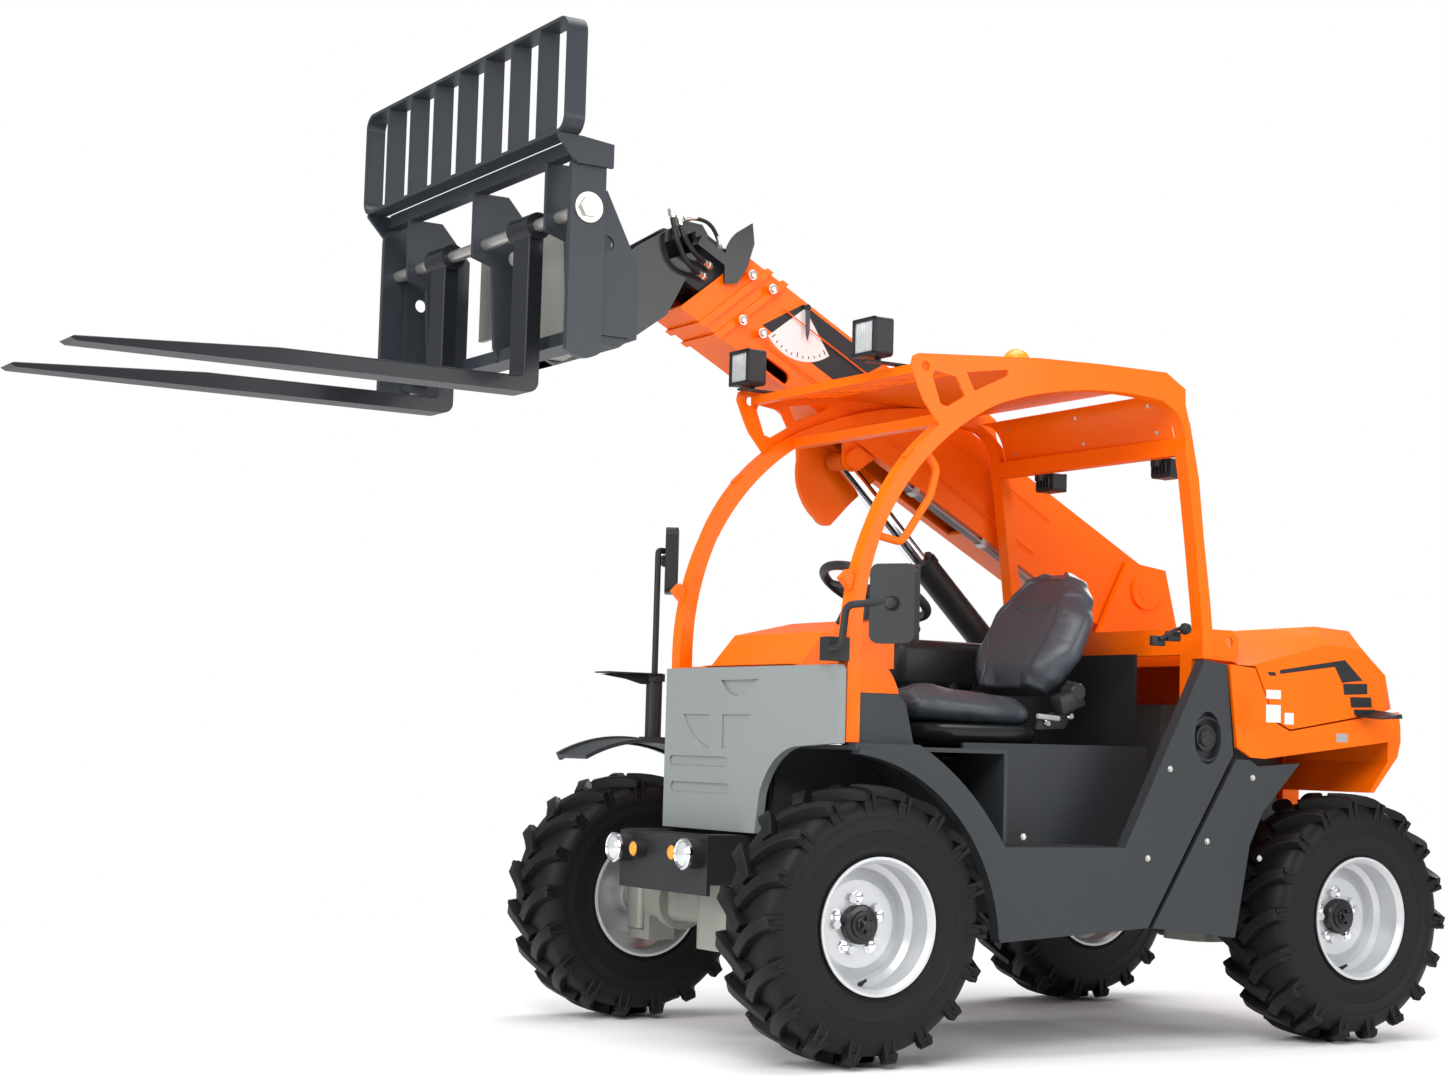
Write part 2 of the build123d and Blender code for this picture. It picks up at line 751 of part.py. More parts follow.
with BuildPart() as seat_cushion:
    with BuildSketch(top_view(920.3)):
        with Locations((-565, 220)):
            RectangleRounded(500, 480, 60)
    extrude(amount=110)
save(seat_cushion.part, "seat_cushion")

with BuildPart() as seat_back:
    with BuildSketch(side_view(460)):
        with BuildLine():
            Line((-790, 1030.6), (-815, 1110))
            ThreePointArc((-815, 1110), (-890, 1270), (-985, 1405))
            ThreePointArc((-985, 1405), (-1030, 1424), (-1075, 1395))
            Polyline((-1075, 1395), (-985, 1230), (-900, 1030.6), (-790, 1030.6))
        make_face()
    extrude(amount=480)
    # rounded corners at the top
    with BuildSketch(cross_view(-1100)):
        with Locations((220, 1030.6 + 200)):
            RectangleRounded(480, 400, 90)
        with Locations((220, 1030.6 + 60)):
            Rectangle(480, 120)
    extrude(amount=320, mode=Mode.INTERSECT)
save(seat_back.part, "seat_back")

with BuildPart() as console:
    with BuildSketch(side_view(-36)):
        with BuildLine():
            Polyline((-620, 616), (-620, 1150), (-660, 1190), (-1000, 1195), (-1010, 616), close=True)
        make_face()
    extrude(amount=150)
    # joystick and the lever beside the column
    with BuildSketch(top_view(1180)):
        with Locations((-690, -110)):
            Circle(12)
    extrude(amount=120)
    with BuildSketch(top_view(1285)):
        with Locations((-690, -110)):
            Circle(22)
    extrude(amount=60)
save(console.part, "console")


# ---------------------------------------------------------------- lamps, beacon, mirrors
with BuildPart() as front_bumper:
    with BuildSketch(cross_view(frame_front)):
        with BuildLine():
            Polyline((-250, 430), (-250, 596), (250, 596), (250, 430), close=True)
        make_face()
    extrude(amount=12)
    for y in (-200, 200):
        with BuildSketch(cross_view(frame_front + 12)):
            with Locations((y, 545)):
                Circle(42)
        extrude(amount=50)
        with BuildSketch(cross_view(frame_front + 12)):
            with Locations((y * 0.55, 545)):
                Circle(24)
        extrude(amount=36)
save(front_bumper.part, "front_bumper")

lamp_places = [
    # x, y, z of the lamp's centre, width, height, depth, side of the bracket below or above
    (-130, -200, 2014, 110, 110, 60, -1),
    (-110, 500, 2015, 110, 110, 60, -1),
    (-1215, -60, 1735, 90, 60, 50, 1),
    (-1215, 500, 1735, 90, 60, 50, 1),
]
with BuildPart() as work_lamps:
    for x, y, z, width, height, depth, bracket in lamp_places:
        with BuildSketch(cross_view(x - depth / 2)):
            with Locations((y, z)):
                RectangleRounded(width, height, 12)
        extrude(amount=depth)
    for x, y, z, width, height, depth, bracket in lamp_places[:2]:
        with BuildSketch(cross_view(x - 20)):
            with Locations((y, (z - height / 2 + 1945) / 2)):
                Rectangle(20, z - height / 2 - 1945)
        extrude(amount=8)
        with BuildSketch(top_view(1945)):
            with Locations((x - 40, y)):
                Rectangle(140, 30)
        extrude(amount=6)
        with BuildSketch(top_view(1920)):
            with Locations((x - 95, y)):
                Rectangle(20, 30)
        extrude(amount=28)
    add(canopy.part, mode=Mode.SUBTRACT)
    for x, y, z, width, height, depth, bracket in lamp_places[2:]:
        with BuildSketch(cross_view(-1190)):
            with Locations((y, 1757)):
                Rectangle(24, 36)
        extrude(amount=31)
save(work_lamps.part, "work_lamps")

with BuildPart() as beacon:
    with BuildSketch(Plane(origin=(front_axle_x - 760, 330, 0), x_dir=(1, 0, 0), z_dir=(0, -1, 0))):
        with BuildLine():
            Polyline((0, 1967), (52, 1967), (52, 1994), (46, 1994), (44, 2040))
            ThreePointArc((44, 2040), (34, 2064), (12, 2077))
            Polyline((12, 2077), (0, 2078), (0, 1967))
        make_face()
    revolve(axis=Axis((front_axle_x - 760, 330, 0), (0, 0, 1)))
save(beacon.part, "beacon")

with BuildPart() as left_mirror:
    with BuildSketch(top_view(1088)):
        with Locations((108, 662)):
            Rectangle(64, 50)
    extrude(amount=64)
    add(cab_frame.part, mode=Mode.SUBTRACT)
    with BuildLine():
        FilletPolyline(
            (front_axle_x + 140, 690, 1120), (front_axle_x + 140, 740, 1120), (front_axle_x + 130, 745, 1235),
            (front_axle_x + 60, 825, 1245), radius=24,
        )
    with BuildSketch(Plane(origin=(front_axle_x + 140, 690, 1120), z_dir=(0, 1, 0))):
        Circle(10)
    sweep()
    with BuildSketch(top_view(1108)):
        with Locations((134, 686)):
            Rectangle(24, 10)
    extrude(amount=24)
    # head, its glass turned towards the seat
    with BuildSketch(Plane(origin=(front_axle_x + 40, 840, 1240), x_dir=(-0.52, 0.854, 0), z_dir=(0.854, 0.52, 0))):
        RectangleRounded(130, 212, 24)
    extrude(amount=18, both=True)
save(left_mirror.part, "left_mirror")

with BuildPart() as right_mirror:
    for low, radius, height in ((874, 26, 196), (1050, 10, 400)):
        with BuildSketch(top_view(low)):
            with Locations(mirror_post):
                Circle(radius)
        extrude(amount=height)
    with BuildLine():
        FilletPolyline(
            (front_axle_x - 70, -620, 1440), (front_axle_x - 70, -620, 1470), (front_axle_x - 130, -640, 1470),
            (front_axle_x - 130, -640, 1430), radius=12,
        )
    with BuildSketch(Plane(origin=(front_axle_x - 70, -620, 1440), z_dir=(0, 0, 1))):
        Circle(10)
    sweep()
    head_place = Plane(
        origin=(front_axle_x - 130, -640, 1440), x_dir=(0.52, 0.854, 0), z_dir=(0.854, -0.52, 0),
    )
    with BuildSketch(head_place):
        RectangleRounded(130, 212, 24)
    extrude(amount=18, both=True)
save(right_mirror.part, "right_mirror")

# ---------------------------------------------------------------- boom
boom_left_y = boom_centre_y + boom_width / 2
boom_middle_v, boom_depth = (boom_top + boom_bottom) / 2, boom_top - boom_bottom
tip_u = 1960
pad = inner_gap - running_gap      # height of a wear pad
inner_left_y = boom_left_y - boom_wall - inner_gap
inner_width = boom_width - 2 * (boom_wall + inner_gap)
inner_top = boom_top - boom_wall - inner_gap
inner_bottom = -105                # clear of the lift cylinder's eye at both ends of its swing
inner_wall = 10
runner_low = boom_bottom + boom_wall + running_gap
head_u = 2030
with BuildPart() as boom_outer:
    with BuildSketch(boom_view(boom_left_y)):
        with BuildLine():
            Polyline(
                (-75, -60), (-75, 50), (-45, boom_top), (tip_u - 70, boom_top), (tip_u + 50, boom_bottom),
                (110, boom_bottom), close=True,
            )
        make_face()
    extrude(amount=boom_width)
    with BuildSketch(boom_view(boom_left_y - boom_wall)):
        with BuildLine():
            Polyline(
                (90, boom_top - boom_wall), (tip_u + 200, boom_top - boom_wall),
                (tip_u + 200, boom_bottom + boom_wall), (170, boom_bottom + boom_wall),
                (90, boom_bottom + 80), close=True,
            )
        make_face()
    extrude(amount=boom_width - 2 * boom_wall, mode=Mode.SUBTRACT)
    # raised collars at the tip
    for start in (1745, 1810):
        with BuildSketch(boom_view(boom_left_y + 8)):
            with BuildLine():
                Polyline(
                    (start - 25, boom_top + 8), (start, boom_top + 8), (start + 125, boom_bottom - 8),
                    (start + 100, boom_bottom - 8), close=True,
                )
            make_face()
        extrude(amount=boom_width + 16)
    with BuildSketch(boom_view(boom_left_y - boom_wall)):
        with Locations((1800, boom_middle_v)):
            Rectangle(700, boom_depth - 2 * boom_wall)
    extrude(amount=boom_width - 2 * boom_wall, mode=Mode.SUBTRACT)
    # the mouth closes down to a running fit on the inner boom
    with BuildSketch(boom_cross(1800)):
        with Locations((0, boom_middle_v)):
            Rectangle(boom_width - 2 * boom_wall + 2, boom_depth - 2 * boom_wall + 2)
        with Locations((0, (inner_top + inner_bottom) / 2)):
            Rectangle(
                inner_width + 2 * running_gap, inner_top - inner_bottom + 2 * running_gap, mode=Mode.SUBTRACT,
            )
    extrude(amount=60)
    # bore of the pivot
    with BuildSketch(boom_view(boom_left_y)):
        Circle(pivot_radius + running_gap)
    extrude(amount=boom_width, mode=Mode.SUBTRACT)
    # opening in the underside, where the lift cylinder's eye swings up
    with BuildSketch(boom_cross(700)):
        with Locations((0, boom_bottom)):
            Rectangle(108, 4 * boom_wall)
    extrude(amount=635, mode=Mode.SUBTRACT)
    # bolts of the wear pads and the hose opening, on the left face
    with BuildSketch(boom_view(boom_left_y + 12)):
        for u, v in ((1854, 33), (1770, 38), (1813, -111), (1732, -105)):
            with Locations((u, v)):
                Circle(9)
    extrude(amount=13)
    with BuildSketch(boom_view(boom_left_y)):
        with Locations((1640, -172)):
            SlotOverall(150, 44)
    extrude(amount=boom_wall, mode=Mode.SUBTRACT)
    # brackets for the lift cylinder: a small one on the left, a long curved one on the right
    with BuildSketch(boom_view(boom_centre_y + 76)):
        with Locations(lift_eye):
            Circle(40)
        with BuildLine():
            Polyline((1150, -190), (1290, -190), (1257, -252), (1181, -252), close=True)
        make_face()
    extrude(amount=18)
    with BuildSketch(boom_view(boom_centre_y - 58)):
        with BuildLine():
            Polyline((1040, -190), (1400, -190), (1330, -300))
            ThreePointArc((1330, -300), (1272, -388), (1180, -430))
            ThreePointArc((1180, -430), (1146, -434), (1120, -420))
            Polyline((1120, -420), (1090, -320), (1040, -190))
        make_face()
    extrude(amount=18)
    # bosses of the eye's pin on the outer faces
    for face_y, to in ((boom_centre_y + 76, -22), (boom_centre_y - 76, 12)):
        with BuildSketch(boom_view(face_y)):
            with Locations(lift_eye):
                Circle(34)
        extrude(amount=to)
save(boom_outer.part, "boom_outer")

with BuildPart() as boom_pipes:
    pipe_rows = (64, 77, 90)          # to the left of the boom's middle, beside the lift cylinder
    with BuildSketch(boom_cross(300)):
        for row in pipe_rows:
            with Locations((row, boom_bottom - 15)):
                Circle(5.5)
    extrude(amount=720)
    for place in (320, 640, 960):
        with BuildSketch(boom_cross(place)):
            with Locations((77, boom_bottom - 12)):
                Rectangle(36, 24)
        extrude(amount=24)
save(boom_pipes.part, "boom_pipes")

with BuildPart() as boom_inner:
    with BuildSketch(boom_view(inner_left_y)):
        with BuildLine():
            Polyline((180, inner_bottom), (180, inner_top), (head_u, inner_top), (head_u, inner_bottom), close=True)
        make_face()
    extrude(amount=inner_width)
    with BuildSketch(boom_view(inner_left_y - inner_wall)):
        with BuildLine():
            Polyline(
                (170, inner_bottom + inner_wall), (170, inner_top - inner_wall),
                (head_u + 10, inner_top - inner_wall), (head_u + 10, inner_bottom + inner_wall), close=True,
            )
        make_face()
    extrude(amount=inner_width - 2 * inner_wall, mode=Mode.SUBTRACT)
    # wear pads at its rear end: sides and top, and two runners down to the outer boom's floor
    with BuildSketch(boom_cross(200)):
        with Locations((0, (inner_top + inner_bottom) / 2)):
            Rectangle(inner_width + 2 * pad, 110)
        with Locations((0, inner_top - 5)):
            Rectangle(90, 10 + 2 * pad)
        with Locations((0, (inner_top + inner_bottom) / 2)):
            Rectangle(inner_width - 2, inner_top - inner_bottom - 2, mode=Mode.SUBTRACT)
        for side in (-67, 67):
            with Locations((side, (runner_low + inner_bottom) / 2 + 1)):
                Rectangle(18, inner_bottom - runner_low + 2)
    extrude(amount=90)
    # opening in the floor for the tilt cylinder
    with BuildSketch(boom_cross(1860)):
        with Locations((0, inner_bottom)):
            Rectangle(88, 4 * inner_wall)
    extrude(amount=200, mode=Mode.SUBTRACT)
    # pin of the tilt cylinder
    with BuildSketch(side_view(inner_left_y)):
        with Locations(tilt_base):
            Circle(18)
    extrude(amount=inner_width)
save(boom_inner.part, "boom_inner")

cheek = 20
with BuildPart() as boom_head:
    with BuildSketch(boom_view(inner_left_y)):
        with BuildLine():
            Polyline(
                (head_u, inner_top), (2066, 84), (2123, 58), (2215, -100), (2360, -440), (2372, -530),
                (2330, -590), (2270, -585), (2120, -420), (head_u, -235), close=True,
            )
        make_face()
    extrude(amount=inner_width)
    with BuildSketch(boom_view(inner_left_y - cheek)):
        with BuildLine():
            Polyline(
                (head_u - 5, inner_top - 14), (2066, 66), (2600, 66), (2600, -700), (2300, -640),
                (2190, -440), (2100, -330), (head_u - 5, -200), close=True,
            )
        make_face()
    extrude(amount=inner_width - 2 * cheek, mode=Mode.SUBTRACT)
    with BuildSketch(side_view(inner_left_y)):
        with Locations(tilt_pivot):
            Circle(22 + running_gap)
    extrude(amount=inner_width, mode=Mode.SUBTRACT)
    # window in the left cheek
    with BuildSketch(boom_view(inner_left_y)):
        with BuildLine():
            Polyline((2150, -45), (2076, 52), (2042, 0), (2110, -80), close=True)
        make_face()
    extrude(amount=cheek, mode=Mode.SUBTRACT)
    # guard flap beside the boom's tip, on an arm from the left cheek
    flap_y = boom_left_y + 20
    with BuildSketch(boom_view(flap_y)):
        with BuildLine():
            Line((1933, 178), (1964, 121))
            ThreePointArc((1964, 121), (1972, 60), (1958, 13))
            Polyline((1958, 13), (1923, -47), (1886, -20), (1880, 47), (1895, 125), (1933, 178))
        make_face()
        with Locations((2000, 20)):
            Rectangle(130, 34)
    extrude(amount=8)
    with BuildSketch(boom_view(flap_y)):
        with Locations((2052, 20)):
            Rectangle(26, 34)
    extrude(amount=flap_y - inner_left_y)
save(boom_head.part, "boom_head")


def cylinder_pair(base, eye, y, body, rod_radius, barrel_length, inside, width, pins):
    """Hydraulic cylinder between two pins: returns its barrel and its rod.

    The rod's eye carries its own short pin, so that its joint can stay open.
    """
    length = hypot(eye[0] - base[0], eye[1] - base[1])
    start = strut_view(base, eye, y)
    pin_base, pin_eye = pins
    with BuildPart() as barrel:
        with BuildSketch(start.offset(pin_base * 0.6)):
            Circle(body)
        extrude(amount=barrel_length - pin_base * 0.6)
        # gland at the rod's end
        with BuildSketch(start.offset(barrel_length - 34)):
            Circle(body + 4)
        extrude(amount=22)
        with BuildSketch(side_view(y + width / 2)):
            with Locations(base):
                Circle(pin_base + 14)
        extrude(amount=width)
        with BuildSketch(side_view(y)):
            with Locations(base):
                Circle(pin_base + running_gap)
        extrude(amount=body + 5, both=True, mode=Mode.SUBTRACT)
        with BuildSketch(start.offset(pin_base + 22)):
            Circle(rod_radius + 6)
        extrude(amount=barrel_length - pin_base - 42, mode=Mode.SUBTRACT)
        with BuildSketch(start.offset(barrel_length - 21)):
            Circle(rod_radius + running_gap)
        extrude(amount=22, mode=Mode.SUBTRACT)
    with BuildPart() as rod:
        with BuildSketch(start.offset(barrel_length - inside)):
            Circle(rod_radius)
        extrude(amount=length - barrel_length + inside)
        with BuildSketch(side_view(y + width / 2 - 4)):
            with Locations(eye):
                Circle(pin_eye + 12)
        extrude(amount=width - 8)
        with BuildSketch(side_view(y + width / 2)):
            with Locations(eye):
                Circle(pin_eye)
        extrude(amount=width)
    return barrel.part, rod.part


lift_top = boom_point(*lift_eye)
lift_barrel, lift_rod = cylinder_pair(
    lift_base, lift_top, boom_centre_y, 46, 27, 985, 430, 92, (lift_pin, 20),
)
save(lift_barrel, "lift_cylinder")
save(lift_rod, "lift_rod")
tilt_barrel, tilt_rod = cylinder_pair(
    tilt_base, tilt_eye, boom_centre_y, 32, 20, 465, 270, 60, (18, 17),
)
save(tilt_barrel, "tilt_cylinder")
save(tilt_rod, "tilt_rod")

# ---------------------------------------------------------------- carriage and forks
plate_outer = 635         # outer faces of the carriage's side plates, from its centre
with BuildPart() as coupler:
    ear_gap, ear_plate = 83, 20
    # back plate, cut short above the wheel, with a slot that the tilt cylinder's eye can swing into
    with BuildSketch(cross_view(576)):
        with BuildLine():
            Polyline(
                (carriage_y + 370, 2340), (carriage_y + 370, 1990), (-295, 1975), (-480, 1975), (-484, 2070),
                (carriage_y - 370, 2070), (carriage_y - 370, 2340), close=True,
            )
        make_face()
        with Locations((boom_centre_y, 2275)):
            Rectangle(76, 134, mode=Mode.SUBTRACT)
    extrude(amount=16)
    for face_y in (boom_centre_y + ear_gap + ear_plate, boom_centre_y - ear_gap):
        with BuildSketch(side_view(face_y)):
            with BuildLine():
                Polyline(
                    (576, 1985), (576, 2320), (540, 2300), (430, 2070), (425, 2010), (470, 1985), close=True,
                )
            make_face()
            with Locations(tilt_eye):
                Circle(34)
        extrude(amount=ear_plate)
    # carriage pin right through, and bosses of the eye's pin on the outer faces
    with BuildSketch(side_view(boom_centre_y + ear_gap + ear_plate + 8)):
        with Locations(tilt_pivot):
            Circle(22)
    extrude(amount=2 * (ear_gap + ear_plate + 8))
    for face_y, to in ((boom_centre_y + ear_gap + ear_plate, -8), (boom_centre_y - ear_gap - ear_plate, 8)):
        with BuildSketch(side_view(face_y)):
            with Locations(tilt_eye):
                Circle(18)
        extrude(amount=to)
save(coupler.part, "coupler")

with BuildPart() as carriage:
    for offset in (plate_outer, -plate_outer + 20):
        with BuildSketch(side_view(carriage_y + offset)):
            with BuildLine():
                Line((705, 1900), (705, 2400))
                ThreePointArc((705, 2400), (758, 2446), (811, 2400))
                Line((811, 2400), (811, 1900))
                ThreePointArc((811, 1900), (758, 1880), (705, 1900))
            make_face()
            with Locations(shaft):
                Circle(shaft_radius, mode=Mode.SUBTRACT)
        extrude(amount=20)
    for offset in (plate_outer - 20, -plate_outer + 32):
        with BuildSketch(side_view(carriage_y + offset)):
            with BuildLine():
                Polyline(
                    (735, 1930), (735, 2250), (720, 2330), (690, 2350), (585, 2150), (585, 1950), (660, 1920),
                    close=True,
                )
            make_face()
            with Locations((684, 2205)):
                Circle(20, mode=Mode.SUBTRACT)
        extrude(amount=12)
    # hook plates that hold the shaft
    for offset in (460, 0, -460):
        with BuildSketch(side_view(carriage_y + offset + 8)):
            with BuildLine():
                Polyline(
                    (592, 1975), (592, 2330), (690, 2440), (800, 2440), (800, 2250), (735, 2230),
                    (720, 1990), (700, 1950), (640, 1950), close=True,
                )
            make_face()
            with Locations(shaft):
                Circle(shaft_radius, mode=Mode.SUBTRACT)
            with Locations((660, 2260)):
                Circle(24, mode=Mode.SUBTRACT)
        extrude(amount=16)
    # lower beam, upper tube and the cross pipe
    for left, right in ((623, 468), (452, 8), (-8, -452), (-468, -603)):
        with BuildSketch(side_view(carriage_y + left)):
            with Locations((660, 1968)):
                Rectangle(90, 36)
        extrude(amount=left - right)
    with BuildSketch(side_view(carriage_y + plate_outer - 20)):
        with Locations((775, 2460)):
            Rectangle(40, 40)
    extrude(amount=2 * plate_outer - 40)
save(carriage.part, "carriage")

with BuildPart() as load_guard:
    guard_half, guard_low, guard_high, bar = 680, 2480, 2800, 10
    with BuildSketch(cross_view(800)):
        with Locations((carriage_y, (guard_low + guard_high) / 2)):
            RectangleRounded(2 * guard_half, guard_high - guard_low, 45)
            RectangleRounded(2 * (guard_half - bar), guard_high - guard_low - 2 * bar, 36, mode=Mode.SUBTRACT)
        for slat in range(7):
            with Locations((carriage_y - 510 + slat * 170, (guard_low + guard_high) / 2)):
                Rectangle(bar, guard_high - guard_low - 2 * bar)
    extrude(amount=60)
    for offset in (plate_outer + 12, -plate_outer):
        with BuildSketch(side_view(carriage_y + offset)):
            with BuildLine():
                Polyline((690, 2405), (690, 2470), (790, 2480), (860, 2480), (860, 2470), (800, 2405), close=True)
            make_face()
        extrude(amount=12)
save(load_guard.part, "load_guard")

with BuildPart() as fork_shaft:
    with BuildSketch(side_view(carriage_y + shaft_half - 6)):
        with Locations(shaft):
            Circle(shaft_radius)
    extrude(amount=2 * shaft_half - 12)
    for offset in (plate_outer + 6, -plate_outer):
        with BuildSketch(side_view(carriage_y + offset)):
            with Locations(shaft):
                Circle(42)
        extrude(amount=6)
    for offset in (shaft_half - 6, -plate_outer - 6):
        with BuildSketch(side_view(carriage_y + offset)):
            with Locations(shaft):
                RegularPolygon(30, 6)
        extrude(amount=shaft_half - plate_outer - 12)
save(fork_shaft.part, "fork_shaft")

fork_width = 100
fork_tip = 2055
for name, side in (("fork_left", 1), ("fork_right", -1)):
    fork_y = carriage_y + side * fork_spread
    with BuildPart() as fork:
        with BuildSketch(side_view(fork_y + fork_width / 2)):
            with BuildLine():
                Polyline((735, 2290), (735, 1850))
                ThreePointArc((735, 1850), (745, 1828), (767, 1820))
                Polyline((767, 1820), (fork_tip - 15, 1822), (fork_tip, 1830), (fork_tip - 10, 1836), (1500, 1865), (800, 1865))
                ThreePointArc((800, 1865), (786, 1870), (780, 1885))
                Polyline((780, 1885), (780, 2290), (735, 2290))
            make_face()
        extrude(amount=fork_width)
        with BuildSketch(side_view(fork_y + 65)):
            with Locations(shaft):
                Circle(38)
        extrude(amount=130)
        with BuildSketch(side_view(fork_y + 65)):
            with Locations(shaft):
                Circle(shaft_radius + running_gap)
        extrude(amount=130, mode=Mode.SUBTRACT)
        # rounded corners at the tip of the blade
        tip_edges = fork.edges().filter_by(Axis.Z).sort_by(Axis.X)[-2:]
        fillet(tip_edges, radius=5)
    save(fork.part, name)
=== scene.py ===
# %% [markdown]
# # Dressing a compact telehandler
# The solids come from CAD at their real size and place. This notebook gives each of them its finish and
# adds what is too fine or too soft for CAD: tyre tread, bolts, seat covers, lenses, stripes and labels.
# Everything is in metres. +X is forward, +Y is the machine's left and +Z is up.

import math

import bmesh
import bpy
from mathutils import Matrix, Vector
from mathutils.bvhtree import BVHTree
from mathutils.kdtree import KDTree


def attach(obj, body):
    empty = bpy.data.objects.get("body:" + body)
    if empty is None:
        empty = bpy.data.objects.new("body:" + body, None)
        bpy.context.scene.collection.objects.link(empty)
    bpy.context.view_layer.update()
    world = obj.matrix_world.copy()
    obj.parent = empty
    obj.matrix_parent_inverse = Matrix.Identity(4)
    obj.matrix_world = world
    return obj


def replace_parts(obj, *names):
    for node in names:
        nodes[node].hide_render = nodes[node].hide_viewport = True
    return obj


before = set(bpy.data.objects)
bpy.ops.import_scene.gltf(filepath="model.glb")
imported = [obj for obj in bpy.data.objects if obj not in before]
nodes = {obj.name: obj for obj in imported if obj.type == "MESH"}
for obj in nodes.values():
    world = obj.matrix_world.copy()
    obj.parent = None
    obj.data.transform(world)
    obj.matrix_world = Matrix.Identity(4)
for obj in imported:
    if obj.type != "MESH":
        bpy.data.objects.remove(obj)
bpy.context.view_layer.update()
scene = bpy.context.scene

# %% [markdown]
# ## Camera
# A long lens stands low, a little in front of the machine's left side, and looks slightly up, so that the
# boom looks tall and the wheels carry it. A camera is turned by building its three axes from a yaw, a
# pitch and a roll. That is easier to tune than three Euler angles.

# %% Camera
UP, LEFT, AHEAD = Vector((0, 0, 1)), Vector((0, 1, 0)), Vector((1, 0, 0))
BACK = -AHEAD
front_axle_x = 0.062      # the front axle, ahead of the frame's origin
camera_place = Vector((3.785 + front_axle_x, 6.088, 0.843))
camera_yaw, camera_pitch, camera_roll = 1.0221, 0.0847, 0.0280
camera_lens = 60.19


def aimed_matrix(place, yaw, pitch, roll):
    """Matrix of a camera that looks back along the yaw, tilted up by pitch and rolled."""
    ahead = Vector((-math.cos(yaw) * math.cos(pitch), -math.sin(yaw) * math.cos(pitch), math.sin(pitch)))
    right = ahead.cross(UP).normalized()
    up = right.cross(ahead)
    rolled_right = right * math.cos(roll) + up * math.sin(roll)
    rolled_up = up * math.cos(roll) - right * math.sin(roll)
    turn = Matrix((rolled_right, rolled_up, -ahead)).transposed().to_4x4()
    return Matrix.Translation(place) @ turn


camera_data = bpy.data.cameras.new("camera")
camera_data.lens = camera_lens
camera_data.sensor_width = 36
camera_data.clip_end = 100
camera = bpy.data.objects.new("camera", camera_data)
scene.collection.objects.link(camera)
camera.matrix_world = aimed_matrix(camera_place, camera_yaw, camera_pitch, camera_roll)
scene.camera = camera
print("camera", round((camera_place - UP).length, 2), "m from the machine")

# %% [markdown]
# ## Node trees from tables
# Floor, sky, finishes and copies are all node trees. A tree is easier to read as two short tables than as a
# long run of calls: its nodes with their settings, and its links written as *node.socket > node.socket*.

# %% Node tree helpers
MATH = "ShaderNodeMath"


def socket_key(text):
    """A socket's number or its name."""
    return int(text) if text.isdigit() else text


def build_nodes(tree, rows, links):
    """Adds nodes from rows of label, kind and settings, and joins them by lines of a table."""
    made = {}
    for label, kind, settings in rows:
        node = made[label] = tree.nodes.new(kind)
        for key, value in settings.items():
            if isinstance(key, str) and key.islower():      # small letters: a property of the node
                setattr(node, key, value)
            else:                                           # otherwise a socket, by name or number
                node.inputs[key].default_value = value
    for line in links:
        (source, out), (target, into) = (end.split(".") for end in line.split(" > "))
        tree.links.new(made[source].outputs[socket_key(out)], made[target].inputs[socket_key(into)])


def make_group(name, inputs, outputs, kind="ShaderNodeTree"):
    """A node group; a socket's row holds its name, its type and, for some inputs, its value."""
    group = bpy.data.node_groups.new(name, kind)
    for in_out, sockets in (("INPUT", inputs), ("OUTPUT", outputs)):
        for label, socket_type, *value in sockets:
            socket = group.interface.new_socket(
                name=label, in_out=in_out, socket_type="NodeSocket" + socket_type)
            if value:
                socket.default_value = value[0]
    return group


def node_material(name, rows, links):
    """A material with the given nodes."""
    material = bpy.data.materials.new(name)
    material.use_nodes = True
    material.node_tree.nodes.clear()
    build_nodes(material.node_tree, rows, links)
    return material


print("node helpers ready")

# %% [markdown]
# ## Floor, backdrop and light
# The floor is a wide plain disc that keeps the shadow near the machine. Farther out it turns white to the
# camera alone, because Light Path tells camera rays from the others, and so it meets the white backdrop
# without a line. A brighter lamp could do that too, but it would wash the shadow out.

# %% Floor and sky
floor_mesh = bpy.data.meshes.new("floor")
floor_build = bmesh.new()
bmesh.ops.create_circle(floor_build, cap_ends=True, segments=96, radius=30.0)
floor_build.to_mesh(floor_mesh)
floor_build.free()
floor = bpy.data.objects.new("floor", floor_mesh)
scene.collection.objects.link(floor)
shadow_reach, white_from = 2.2, 4.5      # metres from the middle of the floor
floor_mesh.materials.append(node_material("pale_floor", (
    ("out", "ShaderNodeOutputMaterial", {}),
    ("matt", "ShaderNodeBsdfDiffuse", {"Color": (0.9, 0.9, 0.9, 1)}),
    ("white", "ShaderNodeEmission", {"Color": (1, 1, 1, 1)}),
    ("place", "ShaderNodeTexCoord", {}),
    ("far", "ShaderNodeVectorMath", {"operation": "LENGTH"}),
    ("fade", "ShaderNodeMapRange", {
        "interpolation_type": "SMOOTHSTEP", "From Min": shadow_reach, "From Max": white_from}),
    ("path", "ShaderNodeLightPath", {}),
    ("seen", MATH, {"operation": "MULTIPLY"}),
    ("mix", "ShaderNodeMixShader", {}),
), (
    "place.Object > far.0", "far.Value > fade.Value", "fade.0 > seen.0", "path.Is Camera Ray > seen.1",
    "seen.0 > mix.Fac", "matt.0 > mix.1", "white.0 > mix.2", "mix.0 > out.Surface",
)))

